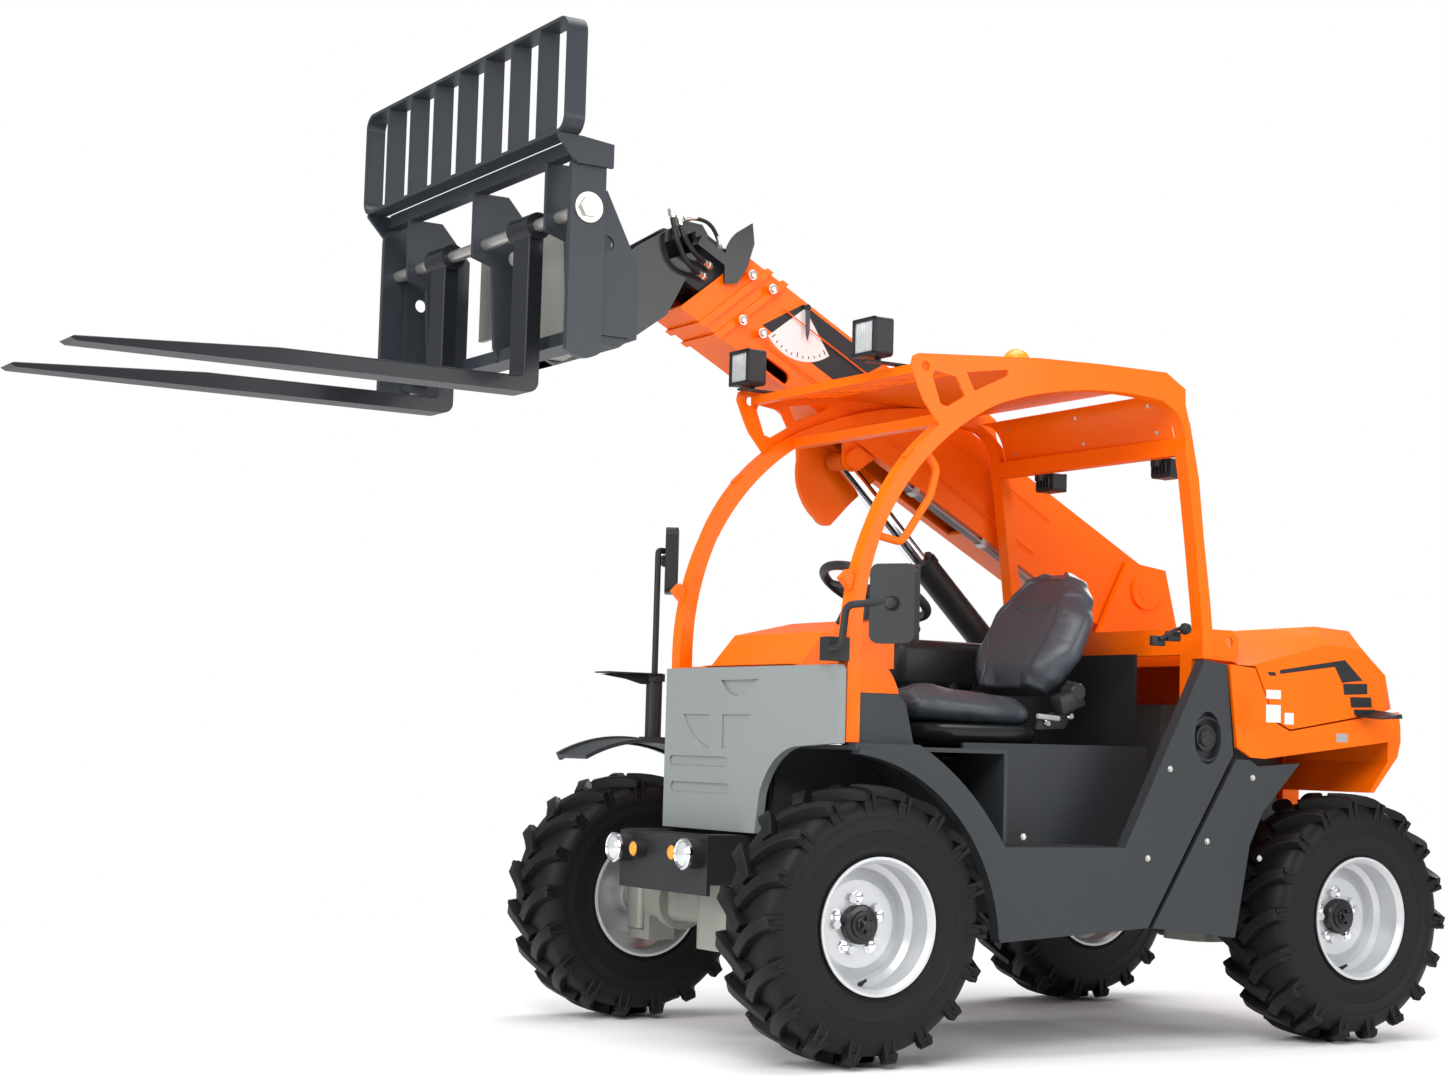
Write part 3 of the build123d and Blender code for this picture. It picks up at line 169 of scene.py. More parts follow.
scene.world = bpy.data.worlds.new("studio")
scene.world.use_nodes = True
scene.world.node_tree.nodes.clear()
build_nodes(scene.world.node_tree, (
    ("out", "ShaderNodeOutputWorld", {}),
    ("mix", "ShaderNodeMixShader", {}),
    ("soft", "ShaderNodeBackground", {"Color": (0.93, 0.96, 1.0, 1), "Strength": 0.42}),
    ("white", "ShaderNodeBackground", {"Color": (1, 1, 1, 1), "Strength": 1.0}),
    ("path", "ShaderNodeLightPath", {}),
    ("seen", MATH, {"operation": "MAXIMUM"}),
), (
    "path.Is Camera Ray > seen.0", "path.Is Transmission Ray > seen.1", "seen.0 > mix.Fac",
    "soft.0 > mix.1", "white.0 > mix.2", "mix.0 > out.Surface",
))
print("floor white from", white_from, "m on")

# %% [markdown]
# ### Studio lamps
# The paint is glossy, so it shows what stands round it. Small lamps would leave dots on the paint; these are
# big rectangles, so each panel gets one long highlight. The key comes from the front left and the others
# fill the shaded sides.

# %% Studio lamps
lamp_rows = (
    # name, place, aim, width, height, watts
    ("key", (4.5, 5.5, 6.0), (0.0, 0.0, 1.0), 4.5, 4.5, 520),
    ("front", (7.0, 0.5, 2.6), (0.0, 0.0, 1.2), 3.5, 3.0, 210),
    ("left_fill", (-3.5, 7.5, 2.8), (-0.5, 0.0, 1.0), 4.0, 3.0, 190),
    ("top", (-0.5, 0.0, 7.0), (-0.5, 0.0, 0.0), 6.0, 5.0, 330),
    ("back", (-7.0, -4.0, 4.5), (0.0, 0.0, 1.2), 4.0, 3.0, 240),
)
for name, place, aim, width, height, watts in lamp_rows:
    lamp_data = bpy.data.lights.new(name, "AREA")
    lamp_data.shape = "RECTANGLE"
    lamp_data.size, lamp_data.size_y = width, height
    lamp_data.energy = watts
    lamp = bpy.data.objects.new(name, lamp_data)
    scene.collection.objects.link(lamp)
    lamp.location = place
    lamp.rotation_euler = (Vector(aim) - Vector(place)).to_track_quat("-Z", "Y").to_euler()
scene.view_settings.view_transform = "Standard"
print(len(lamp_rows), "soft lamps")

# %% [markdown]
# ## Finishes
# Each finish is a Principled shader with its variation made by procedural nodes on Object coordinates. Two
# effects are shared by many finishes, so they are node groups: *uneven coat*, which varies brightness and
# roughness the way dust and light wear do, and *fine grain*, which gives the height for a Bump node. The
# shader itself stays in each material, so that it can be exported.

# %% Group: uneven coat
coat_group = make_group("uneven coat", (
    ("Color", "Color", (0.5, 0.5, 0.5, 1)),
    ("Dust", "Color", (0.4, 0.37, 0.33, 1)),
    ("Dust Amount", "Float", 0.1),
    ("Shade", "Float", 0.08),
    ("Roughness", "Float", 0.4),
    ("Roughness Spread", "Float", 0.08),
    ("Scale", "Float", 4.0),
), (("Color", "Color"), ("Roughness", "Float")))
dust_height = 1.1      # metres above the ground where the dust ends
build_nodes(coat_group, (
    ("in", "NodeGroupInput", {}), ("out", "NodeGroupOutput", {}),
    ("place", "ShaderNodeTexCoord", {}), ("split", "ShaderNodeSeparateXYZ", {}),
    ("noise", "ShaderNodeTexNoise", {"Detail": 6}),
    ("low", "ShaderNodeMapRange", {"From Min": dust_height, "From Max": 0.0}),
    ("dust", MATH, {"operation": "MULTIPLY"}),
    ("scaled", MATH, {"operation": "MULTIPLY"}),
    ("centred", MATH, {"operation": "SUBTRACT", 1: 0.5}),
    ("shade", MATH, {"operation": "MULTIPLY_ADD", 2: 1.0}),
    ("bright", "ShaderNodeHueSaturation", {}),
    ("mix", "ShaderNodeMix", {"data_type": "RGBA"}),
    ("rough", MATH, {"operation": "MULTIPLY_ADD"}), ("clamp", "ShaderNodeClamp", {}),
), (
    "place.Object > noise.Vector", "in.Scale > noise.Scale", "place.Object > split.0", "split.Z > low.Value",
    "low.0 > dust.0", "noise.Fac > dust.1", "dust.0 > scaled.0", "in.Dust Amount > scaled.1",
    "noise.Fac > centred.0", "centred.0 > shade.0", "in.Shade > shade.1",
    "in.Color > bright.Color", "shade.0 > bright.Value",
    "scaled.0 > mix.Factor", "bright.0 > mix.A", "in.Dust > mix.B",
    "centred.0 > rough.0", "in.Roughness Spread > rough.1", "in.Roughness > rough.2", "rough.0 > clamp.0",
    "mix.Result > out.Color", "clamp.0 > out.Roughness",
))
print("group", coat_group.name, "has", len(coat_group.nodes), "nodes")

# %% Group: fine grain
grain_group = make_group("fine grain", (("Scale", "Float", 400.0),), (("Height", "Float"),))
build_nodes(grain_group, (
    ("in", "NodeGroupInput", {}), ("out", "NodeGroupOutput", {}), ("place", "ShaderNodeTexCoord", {}),
    ("noise", "ShaderNodeTexNoise", {"Detail": 3}),
), ("place.Object > noise.Vector", "in.Scale > noise.Scale", "noise.Fac > out.Height"))
print("group", grain_group.name, "has", len(grain_group.nodes), "nodes")


# %% One function makes a finish
def finish(name, color, roughness, spread=0.08, shade=0.08, dust=0.04, scale=4.0, metallic=0.0, coat=0.0,
           coat_roughness=0.08, grain=0.0, grain_scale=400.0, sheen=0.0, specular=0.3):
    """A Principled material whose colour and roughness come from the shared groups."""
    rows = [
        ("out", "ShaderNodeOutputMaterial", {}),
        ("shader", "ShaderNodeBsdfPrincipled", {
            "name": "shader", "Metallic": metallic, "Coat Weight": coat, "Coat Roughness": coat_roughness,
            "Sheen Weight": sheen, "Specular IOR Level": specular}),
        ("coat", "ShaderNodeGroup", {
            "node_tree": coat_group, "name": "coat", "Color": (*color, 1), "Dust": (0.30, 0.28, 0.25, 1),
            "Dust Amount": dust, "Shade": shade, "Roughness": roughness, "Roughness Spread": spread,
            "Scale": scale}),
    ]
    links = ["coat.Color > shader.Base Color", "coat.Roughness > shader.Roughness"]
    if grain:
        rows += [("grain", "ShaderNodeGroup", {"node_tree": grain_group, "Scale": grain_scale}),
                 ("bump", "ShaderNodeBump", {"Strength": grain, "Distance": 0.001})]
        links += ["grain.Height > bump.Height", "bump.Normal > shader.Normal"]
    return node_material(name, rows, links + ["shader.0 > out.Surface"])


# %% [markdown]
# ### The machine's finishes
# The paint is a strong orange under a thin clear coat. The skirts and the front cover are moulded in the same
# dark grey plastic with a fine spark-eroded grain; the cover's lighter colour is painted light from the front
# lamp. The fork carriage is anthracite, the axles olive grey, and the wheels silver. Rubber is nearly black.

# %% Paints and metals
orange_paint = finish("orange_paint", (0.92, 0.140, 0.0), 0.42, dust=0.01, coat=0.08,
                      grain=0.04, grain_scale=160, specular=0.16)
black_paint = finish("black_paint", (0.010, 0.011, 0.013), 0.30, dust=0.03, coat=0.2, grain=0.06,
                     grain_scale=200)
satin_black = finish("satin_black", (0.016, 0.017, 0.019), 0.45, dust=0.05, grain=0.1, grain_scale=300)
anthracite = finish("anthracite_paint", (0.024, 0.029, 0.036), 0.40, dust=0.01, coat=0.08, coat_roughness=0.2,
                    grain=0.08, grain_scale=260)
fork_steel = finish("fork_paint", (0.0085, 0.0100, 0.0125), 0.36, dust=0.01, coat=0.08, grain=0.1,
                    grain_scale=220)
olive_paint = finish("olive_paint", (0.30, 0.30, 0.265), 0.42, metallic=0.15, dust=0.05, grain=0.1,
                     grain_scale=240)
silver_paint = finish("silver_paint", (0.62, 0.63, 0.64), 0.36, metallic=0.5, dust=0.03, grain=0.08,
                      grain_scale=260)
zinc_plate = finish("zinc_plate", (0.62, 0.60, 0.56), 0.33, spread=0.2, metallic=0.9, dust=0.02, scale=14)
steel_pipe = finish("steel_pipe", (0.34, 0.34, 0.35), 0.35, metallic=0.9, dust=0.02, scale=20)
hard_chrome = finish("hard_chrome", (0.82, 0.82, 0.84), 0.09, spread=0.03, metallic=1.0, dust=0.0, shade=0.02)
cast_iron = finish("cast_iron", (0.06, 0.06, 0.06), 0.6, dust=0.2, grain=0.3, grain_scale=150)
mirror_glass = finish("mirror_glass", (0.75, 0.78, 0.8), 0.03, spread=0.0, metallic=1.0, dust=0.0, shade=0.0)
print("paints and metals ready")

# %% Plastics, rubber and fabric
# The front cover is the skirts' dark plastic; its lighter colour here is painted light from the front lamp.
front_lit_cover_plastic = finish("front_lit_cover_plastic", (0.232, 0.249, 0.246), 0.48, dust=0.02, grain=0.14, grain_scale=900,
                       specular=0.35)
skirt_plastic = finish("skirt_plastic", (0.029, 0.033, 0.037), 0.46, dust=0.02, grain=0.14, grain_scale=900,
                       specular=0.32)
dark_plastic = finish("dark_plastic", (0.018, 0.019, 0.021), 0.42, dust=0.05, grain=0.12, grain_scale=800)
dark_gloss = finish("dark_gloss_plastic", (0.010, 0.011, 0.012), 0.22, dust=0.0, grain=0.04, grain_scale=500)
amber = finish("amber_lens", (1.0, 0.32, 0.01), 0.16, dust=0.0, coat=0.6)
clear_lens = finish("clear_lens", (0.62, 0.64, 0.65), 0.12, dust=0.0, shade=0.25, scale=60,
                    metallic=0.35, coat=0.6)
blank_white = finish("blank_label", (0.72, 0.73, 0.74), 0.4, dust=0.0, shade=0.03)
blank_grey = finish("blank_grey_label", (0.32, 0.33, 0.34), 0.4, dust=0.0, shade=0.03)
rubber = finish("tyre_rubber", (0.0034, 0.0036, 0.0040), 0.50, spread=0.2, dust=0.02, grain=0.3,
                grain_scale=500, specular=0.22)
bellows_rubber = finish("bellows_rubber", (0.010, 0.011, 0.012), 0.30, spread=0.1, dust=0.02, grain=0.12,
                        grain_scale=300, specular=0.5)
hose_rubber = finish("hose_rubber", (0.012, 0.012, 0.013), 0.42, spread=0.15, dust=0.05, grain=0.2,
                     grain_scale=700)
vinyl = finish("seat_vinyl", (0.050, 0.061, 0.073), 0.33, spread=0.1, dust=0.0, grain=0.3, grain_scale=1100,
               specular=0.5)
stitch_thread = finish("stitch_thread", (0.030, 0.031, 0.034), 0.7, dust=0.0, sheen=0.2)
print(len(bpy.data.materials), "materials")

# %% [markdown]
# ### Which part gets which finish
# Each solid of the machine is painted or moulded in one finish, so one material on all its faces is enough.
# A table from finish to solids shows at a glance what is orange, black or silver.

# %% Give every CAD node its finish
corners = ("front_left", "front_right", "rear_left", "rear_right")
node_finish = (
    (orange_paint, ("boom_tower", "rear_body", "cab_frame", "canopy", "dash", "hood", "boom_outer")),
    (satin_black, ("main_frame", "front_bumper", "boom_inner", "lift_cylinder", "tilt_cylinder",
                   "cab_floor")),
    (black_paint, ("boom_head",)),
    (anthracite, ("carriage", "load_guard")),
    (fork_steel, ("fork_left", "fork_right")),
    # The front cover's lighter colour is painted front light.
    (front_lit_cover_plastic, ("front_cover",)),
    (skirt_plastic, ("left_skirt", "rear_skirt", "right_body")),
    (dark_plastic, ("fuel_cap", "console", "steering_column", "steering_wheel", "seat_base", "work_lamps",
                    "left_mirror", "right_mirror")),
    (olive_paint, ("front_axle", "rear_axle", "coupler", *("knuckle_" + corner for corner in corners))),
    (silver_paint, ["rim_" + corner for corner in corners]),
    (rubber, ["tyre_" + corner for corner in corners]),
    (zinc_plate, ("fork_shaft",)),
    (steel_pipe, ("boom_pipes",)),
    (hard_chrome, ("lift_rod", "tilt_rod")),
    (vinyl, ("seat_cushion", "seat_back")),
    (cast_iron, ("engine",)),
    (amber, ("beacon",)),
)
for material, names in node_finish:
    for name in names:
        nodes[name].data.materials.clear()
        nodes[name].data.materials.append(material)
print("painted", sum(len(names) for material, names in node_finish), "nodes")

# %% [markdown]
# ## Helpers for pieces that CAD leaves out
# Pieces are modelled where they sit, because a finished piece's object stays at the origin. Places are
# given as on a workshop drawing: millimetres from the front axle, from the middle and from the ground.
# A few small builders add boxes, turned shapes and plates to one mesh, so a piece needs few lines.

# %% Places and pieces
MM = 0.001
tiny = 1e-6
sharp_angle = 32      # degrees between faces, over which an edge stays sharp


def spot(x, y, z):
    """A point in metres from millimetres ahead of the front axle, to the left, and above the ground."""
    return Vector((x * MM + front_axle_x, y * MM, z * MM))


def mesh_of(name, build):
    """Turns a bmesh into a mesh and frees it."""
    mesh = bpy.data.meshes.new(name)
    build.to_mesh(mesh)
    build.free()
    return mesh


def show(name, mesh):
    """A linked object at the origin."""
    piece = bpy.data.objects.new(name, mesh)
    scene.collection.objects.link(piece)
    return piece


def smooth_mesh(mesh, degrees):
    """Smooth faces, with edges over an angle kept sharp."""
    mesh.polygons.foreach_set("use_smooth", [True] * len(mesh.polygons))
    mesh.set_sharp_from_angle(angle=math.radians(degrees))


def new_piece(name, build, material, body="chassis", smooth=sharp_angle):
    """Turns a bmesh into a piece with outward faces, smooth curves and sharp corners, riding on a body."""
    bmesh.ops.remove_doubles(build, verts=build.verts, dist=tiny)
    bmesh.ops.recalc_face_normals(build, faces=build.faces)
    mesh = mesh_of(name, build)
    mesh.materials.append(material)
    smooth_mesh(mesh, smooth)
    piece = show(name, mesh)
    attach(piece, body)
    return piece


print("piece helpers ready")

# %% Boxes, plates and skins
def add_box(build, centre, size, turn=None, bevel=0.0):
    """A box about a centre, turned by a matrix, with its edges rounded."""
    matrix = Matrix.Translation(centre) @ (turn.to_4x4() if turn else Matrix()) @ Matrix.Diagonal((*size, 1))
    made = bmesh.ops.create_cube(build, size=1.0, matrix=matrix)
    if bevel:
        edges = list({edge for vert in made["verts"] for edge in vert.link_edges})
        bmesh.ops.bevel(build, geom=edges, offset=bevel, segments=2, affect="EDGES", profile=0.5)


def skin_rings(build, rings):
    """Joins rings of vertices to a closed shell; its last face is the lid on the last ring."""
    for lower, upper in zip(rings, rings[1:]):
        for i in range(len(lower)):
            j = (i + 1) % len(lower)
            build.faces.new((lower[i], lower[j], upper[j], upper[i]))
    build.faces.new(rings[0])
    return build.faces.new(rings[-1])


def add_plate(build, outline, origin, across, up, depth, bevel=0.0):
    """A flat outline in its own plane, thickened along across x up."""
    normal = across.cross(up).normalized()
    low = [build.verts.new(origin + across * a + up * b) for a, b in outline]
    high = [build.verts.new(vert.co + normal * depth) for vert in low]
    lid = skin_rings(build, (low, high))
    if bevel:
        bmesh.ops.bevel(build, geom=list(lid.edges), offset=bevel, segments=2, affect="EDGES", profile=0.5)


print("boxes and plates ready")

# %% Turned shapes and tubes
def add_turned(build, profile, origin, axis, segments=32):
    """A closed turned shape: profile rows are radius and distance along the axis."""
    axis = axis.normalized()
    side = axis.orthogonal().normalized()
    other = axis.cross(side)
    angles = [math.tau * i / segments for i in range(segments)]
    rings = []
    for radius, along in profile:
        place = origin + axis * along
        if radius < tiny:
            rings.append([build.verts.new(place)] * segments)
        else:
            rings.append([build.verts.new(place + (side * math.cos(a) + other * math.sin(a)) * radius)
                          for a in angles])
    closed = profile[0][0] > tiny
    pairs = list(zip(rings, rings[1:])) + ([(rings[-1], rings[0])] if closed else [])
    for lower, upper in pairs:
        for i in range(segments):
            j = (i + 1) % segments
            face = list(dict.fromkeys((lower[i], lower[j], upper[j], upper[i])))      # a pole counts once
            if len(face) > 2:
                build.faces.new(face)


def add_tube(build, points, radius, resolution=10, sides=3):
    """A smooth round tube along a few control points, with closed ends."""
    curve = bpy.data.curves.new("tube", "CURVE")
    curve.dimensions = "3D"
    curve.bevel_depth = radius
    curve.bevel_resolution = sides
    curve.use_fill_caps = True
    curve.resolution_u = resolution
    spline = curve.splines.new("NURBS")
    spline.points.add(len(points) - 1)
    for row, point in zip(spline.points, points):
        row.co = (*point, 1)
    spline.order_u = 3
    spline.use_endpoint_u = True
    holder = bpy.data.objects.new("tube", curve)
    mesh = bpy.data.meshes.new_from_object(holder)
    build.from_mesh(mesh)
    bpy.data.objects.remove(holder)
    bpy.data.meshes.remove(mesh)


print("turned shapes and tubes ready")

# %% [markdown]
# ### Copies by Geometry Nodes
# Bolts, nuts, tread lugs and stitches repeat, so two small node trees place them. *Ring of copies* turns a
# piece round an axle. *Copies on points* sets one on every vertex of a list, standing along its own
# direction. Each ends in Realize Instances and Set Material, and the result is baked to a plain mesh.

# %% Two Geometry Nodes trees
def copies_tree(name, inputs, rows, links):
    """A tree whose instances are realized and get the material; its input called Piece is what it copies."""
    geometry = ("Geometry", "Geometry")
    tree = make_group(name, (geometry, ("Piece", "Object"), ("Material", "Material"), *inputs), (geometry,),
                      "GeometryNodeTree")
    build_nodes(tree, (
        ("in", "NodeGroupInput", {}), ("out", "NodeGroupOutput", {}), *rows,
        ("piece", "GeometryNodeObjectInfo", {}), ("copies", "GeometryNodeInstanceOnPoints", {}),
        ("realize", "GeometryNodeRealizeInstances", {}), ("dress", "GeometryNodeSetMaterial", {}),
    ), (
        *links, "in.Piece > piece.Object", "piece.Geometry > copies.Instance",
        "copies.Instances > realize.Geometry", "realize.Geometry > dress.Geometry",
        "in.Material > dress.Material", "dress.Geometry > out.Geometry",
    ))
    return tree


ring_tree = copies_tree("ring of copies", (("Count", "Int"), ("Phase", "Float"), ("Centre", "Vector")), (
    ("points", "GeometryNodePoints", {}), ("index", "GeometryNodeInputIndex", {}),
    ("step", MATH, {"operation": "DIVIDE", 0: math.tau}), ("angle", MATH, {"operation": "MULTIPLY_ADD"}),
    ("turn", "ShaderNodeCombineXYZ", {}),
), (
    "in.Count > points.Count", "in.Centre > points.Position", "in.Count > step.1",
    "index.0 > angle.0", "step.0 > angle.1", "in.Phase > angle.2", "angle.0 > turn.Y",
    "points.0 > copies.Points", "turn.0 > copies.Rotation",
))
spread_tree = copies_tree("copies on points", (), (
    ("facing", "GeometryNodeInputNamedAttribute", {"data_type": "FLOAT_VECTOR", "Name": "facing"}),
    ("along", "GeometryNodeInputNamedAttribute", {"data_type": "FLOAT_VECTOR", "Name": "along"}),
    ("stand", "FunctionNodeAlignRotationToVector", {"axis": "Z"}),
    ("lie", "FunctionNodeAlignRotationToVector", {"axis": "X", "pivot_axis": "Z"}),
), (
    "in.Geometry > copies.Points", "facing.Attribute > stand.Vector", "stand.0 > lie.Rotation",
    "along.Attribute > lie.Vector", "lie.0 > copies.Rotation",
))
print(len(ring_tree.nodes) + len(spread_tree.nodes), "nodes in the two trees")

# %% Running the trees
def bake_tree(name, tree, points, settings, body):
    """Runs a tree on a mesh of points and keeps the result as a plain mesh on a body."""
    holder = show("holder", points)
    modifier = holder.modifiers.new("copies", "NODES")
    modifier.node_group = tree
    for item in tree.interface.items_tree:
        if item.item_type == "SOCKET" and item.in_out == "INPUT" and item.name in settings:
            modifier[item.identifier] = settings[item.name]
    shown = holder.evaluated_get(bpy.context.evaluated_depsgraph_get())
    mesh = bpy.data.meshes.new_from_object(shown)
    bpy.data.objects.remove(holder)
    mesh.name = name
    smooth_mesh(mesh, sharp_angle)
    piece = show(name, mesh)
    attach(piece, body)
    return piece


def ring_of(name, sample, count, phase, centre, material, body):
    """Copies of a sample round an axle along Y."""
    settings = {"Piece": sample, "Count": count, "Phase": phase, "Centre": centre, "Material": material}
    return bake_tree(name, ring_tree, bpy.data.meshes.new("none"), settings, body)


def copies_of(name, sample, rows, material, body="chassis"):
    """Copies of a sample at places, standing along a direction; rows are place, facing, along."""
    points = bpy.data.meshes.new("points")
    points.from_pydata([row[0] for row in rows], [], [])
    for label, column in (("facing", 1), ("along", 2)):
        values = points.attributes.new(label, "FLOAT_VECTOR", "POINT")
        values.data.foreach_set("vector", [number for row in rows for number in row[column]])
    return bake_tree(name, spread_tree, points, {"Piece": sample, "Material": material}, body)


def sample_of(name, build):
    """What the trees copy: an object that no collection holds, so it never shows by itself."""
    bmesh.ops.recalc_face_normals(build, faces=build.faces)
    return bpy.data.objects.new(name, mesh_of(name, build))


def around_axle(count, shift=0.0):
    """Directions square to an axle along Y, evenly turned from straight up."""
    angles = [math.tau * (i + shift) / count for i in range(count)]
    return [Vector((math.sin(angle), 0, math.cos(angle))) for angle in angles]


print("copies ready")

# %% [markdown]
# ### Bolt heads
# Bolts hold the axle covers, the boom pads, the roof sheet and the skirts. A cylinder would look like a
# rivet, so the head is a hexagon on a washer with a worn, rounded top. It has few faces, because it is
# copied often.

# %% Bolt heads
def bolt_sample(name, across):
    """A hexagon head on a washer, with its top rounded; across is the size of the key in metres."""
    build = bmesh.new()
    add_turned(build, ((0, 0), (0.72 * across, 0), (0.72 * across, 0.08 * across), (0, 0.08 * across)),
               Vector((0, 0, 0)), UP, 20)
    hexagon = [(0.56 * across * math.cos(a), 0.56 * across * math.sin(a))
               for a in (math.tau * i / 6 for i in range(6))]
    add_plate(build, hexagon, UP * 0.07 * across, AHEAD, LEFT, 0.42 * across, bevel=0.06 * across)
    return sample_of(name, build)


small_bolt = bolt_sample("small_bolt", 0.013)
large_bolt = bolt_sample("large_bolt", 0.022)
print("bolt samples of 13 and 22 mm")

# %% [markdown]
# ## Tyres and wheels
# A traction tyre has two rows of bars that start past the middle of the tread, sweep back and end in a
# hollowed foot on the shoulder. One bar is modelled in place, its mirror image makes the other row, and the
# ring tree turns both round the axle. The carcass is one turned profile with moulded rings on its sidewall.

# %% Wheel places
half_track = 622.5
axle_height = 380
rear_axle_x = -1800
wheels = [
    # corner, body, centre, outward
    (corner, "wheel_" + corner, spot(x, side * half_track, axle_height), LEFT * side)
    for corner, x, side in zip(corners, (0, 0, rear_axle_x, rear_axle_x), (1, -1, 1, -1))
]
bars_per_row = 18
tread_radius = 0.372
print(len(wheels), "wheels")

# %% One bar of the tread
bar_rows = (
    # out from the middle, back along the tread, top radius, half width at the top and at the base (mm)
    (-10, -9, 378, 15, 23),
    (20, 20, 379, 16, 24),
    (52, 46, 378, 16, 24),
    (86, 66, 375, 17, 25),
    (112, 78, 369, 18, 25),
    (128, 84, 360, 19, 26),
)
base_radius = 340
foot_inside, foot_middle = 104, 330      # distance from the middle, and the radius halfway down
sharp_edge = 0.7                         # radians between faces, over which an edge is rounded
foot_rows = (
    # how far out at the top and at the bottom, and corners: back from the bar's end and radius (mm)
    (133, 129, ((-4, 359), (-19, 358), (-23, 304), (-13, 304))),
    (133, 129, ((4, 359), (19, 358), (23, 304), (13, 304))),
    (126, 126, ((-18, 340), (18, 340), (20, 306), (-20, 306))),
)


def bar_point(out, back, radius, side):
    """A point on the tyre: out across the tread, back round it, at a radius, for one row of bars."""
    angle = -back * MM / tread_radius
    return Vector((radius * MM * math.sin(angle), side * out * MM, radius * MM * math.cos(angle)))


def tread_bar(side):
    """A swept bar with a foot of two legs on the shoulder."""
    build = bmesh.new()
    rings = []
    for i, (out, back, top, half_top, half_base) in enumerate(bar_rows):
        after, before = bar_rows[min(i + 1, len(bar_rows) - 1)], bar_rows[max(i - 1, 0)]
        run = Vector((after[0] - before[0], after[1] - before[1])).normalized()
        section = ((half_base, base_radius), (half_top, top), (-half_top, top), (-half_base, base_radius))
        rings.append([build.verts.new(bar_point(out - run.y * w, back + run.x * w, radius, side))
                      for w, radius in section])
    skin_rings(build, rings)
    bar_end = bar_rows[-1][1]
    for top_out, low_out, outline in foot_rows:
        inner = [bar_point(foot_inside, bar_end + w, r, side) for w, r in outline]
        outer = [bar_point(top_out if r > foot_middle else low_out, bar_end + w, r, side) for w, r in outline]
        skin_rings(build, [[build.verts.new(point) for point in ring] for ring in (inner, outer)])
    bmesh.ops.recalc_face_normals(build, faces=build.faces)
    bmesh.ops.bevel(build, geom=[e for e in build.edges if e.calc_face_angle(0) > sharp_edge],
                    offset=0.0022, segments=1, affect="EDGES", clamp_overlap=True)
    return sample_of("tread_bar", build)


outer_bar, inner_bar = tread_bar(1), tread_bar(-1)
print("a bar of", len(outer_bar.data.polygons), "faces")

# %% Four tyres, each one mesh of carcass and bars
carcass_rows = (
    # radius, distance from the tyre's middle (mm), one half from the middle of the tread to the bead
    (352, 0), (350, 60), (345, 98), (334, 115), (318, 124), (300, 127.5), (292, 127.5), (290, 126),
    (270, 127), (262, 128.5), (256, 128.5), (254, 126.5), (230, 125), (212, 122), (206, 123.5),
    (200, 123.5), (197, 121), (188, 118), (180, 112), (176, 112),
)
half_profile = [(r * MM, y * MM) for r, y in carcass_rows]
carcass_profile = half_profile + [(r, -y) for r, y in reversed(half_profile[1:])]

for corner, body, centre, outward in wheels:
    build = bmesh.new()
    add_turned(build, carcass_profile, centre, LEFT, 96)
    for sample, phase in ((outer_bar, 0.0), (inner_bar, math.pi / bars_per_row)):
        bars = ring_of("bars", sample, bars_per_row, phase, centre, rubber, body)
        build.from_mesh(bars.data)
        bpy.data.objects.remove(bars)
    tyre = new_piece("lugged_tyre_" + corner, build, rubber, body, smooth=28)
    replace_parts(tyre, "tyre_" + corner)
print("tyres of", len(tyre.data.polygons), "faces each")

# %% [markdown]
# ### Nuts, hubs and valves
# The wheel disc carries five chromed nuts on washers, a black hub with a castle nut, and an air valve. They
# ride on the wheel, so they turn with it. The hub is turned in one profile, as it would be on a lathe.

# %% Nuts, hubs and valves
nut_sample = bolt_sample("wheel_nut", 0.026)
disc_face, nut_circle = 0.0185, 0.073
hub_rows = (
    # radius and distance out from the wheel's middle (mm)
    (0, 74), (13, 74), (15, 72), (15, 63), (24, 62), (26, 60), (26, 55), (36, 54), (38, 51), (38, 47),
    (50, 45), (54, 41), (54, 18), (0, 18),
)
valve_rows = ((0, 0), (0.007, 0), (0.006, 0.016), (0.0045, 0.02), (0.0045, 0.034), (0, 0.034))
for corner, body, centre, outward in wheels:
    rows = [(centre + outward * disc_face + around * nut_circle, outward, around)
            for around in around_axle(5)]
    copies_of("wheel_nuts_" + corner, nut_sample, rows, hard_chrome, body)
    build = bmesh.new()
    add_turned(build, [(r * MM, y * MM) for r, y in hub_rows], centre, outward, 40)
    for around in around_axle(6):                     # the castle nut's teeth
        add_box(build, centre + outward * 0.066 + around * 0.019, (0.008, 0.012, 0.008),
                around.to_track_quat("X", "Z").to_matrix(), 0.001)
    new_piece("hub_" + corner, build, black_paint, body)
    build = bmesh.new()
    add_turned(build, valve_rows, centre - UP * 0.162 + outward * 0.036, outward + UP * 0.5, 14)
    new_piece("air_valve_" + corner, build, satin_black, body)
print("nuts, hubs and valves on", len(wheels), "wheels")

# %% [markdown]
# ## Stripes and blank labels
# Stickers follow the panel that they are on. Each is an outline that is cut into small triangles, dropped on
# the panel along one direction and given about a millimetre of thickness. A flat plate would sink into a
# curved hood or stand off it. The labels carry no words and no signs, so they stay blank.

# %% Sticker helpers
panel_trees = {}
ray_start, ray_reach = 0.15, 0.4      # metres before the drawn outline and through the panel


def panel_tree(name):
    """A search tree of a CAD node's surface."""
    if name not in panel_trees:
        mesh = nodes[name].data
        panel_trees[name] = BVHTree.FromPolygons([v.co[:] for v in mesh.vertices],
                                                 [p.vertices[:] for p in mesh.polygons])
    return panel_trees[name]


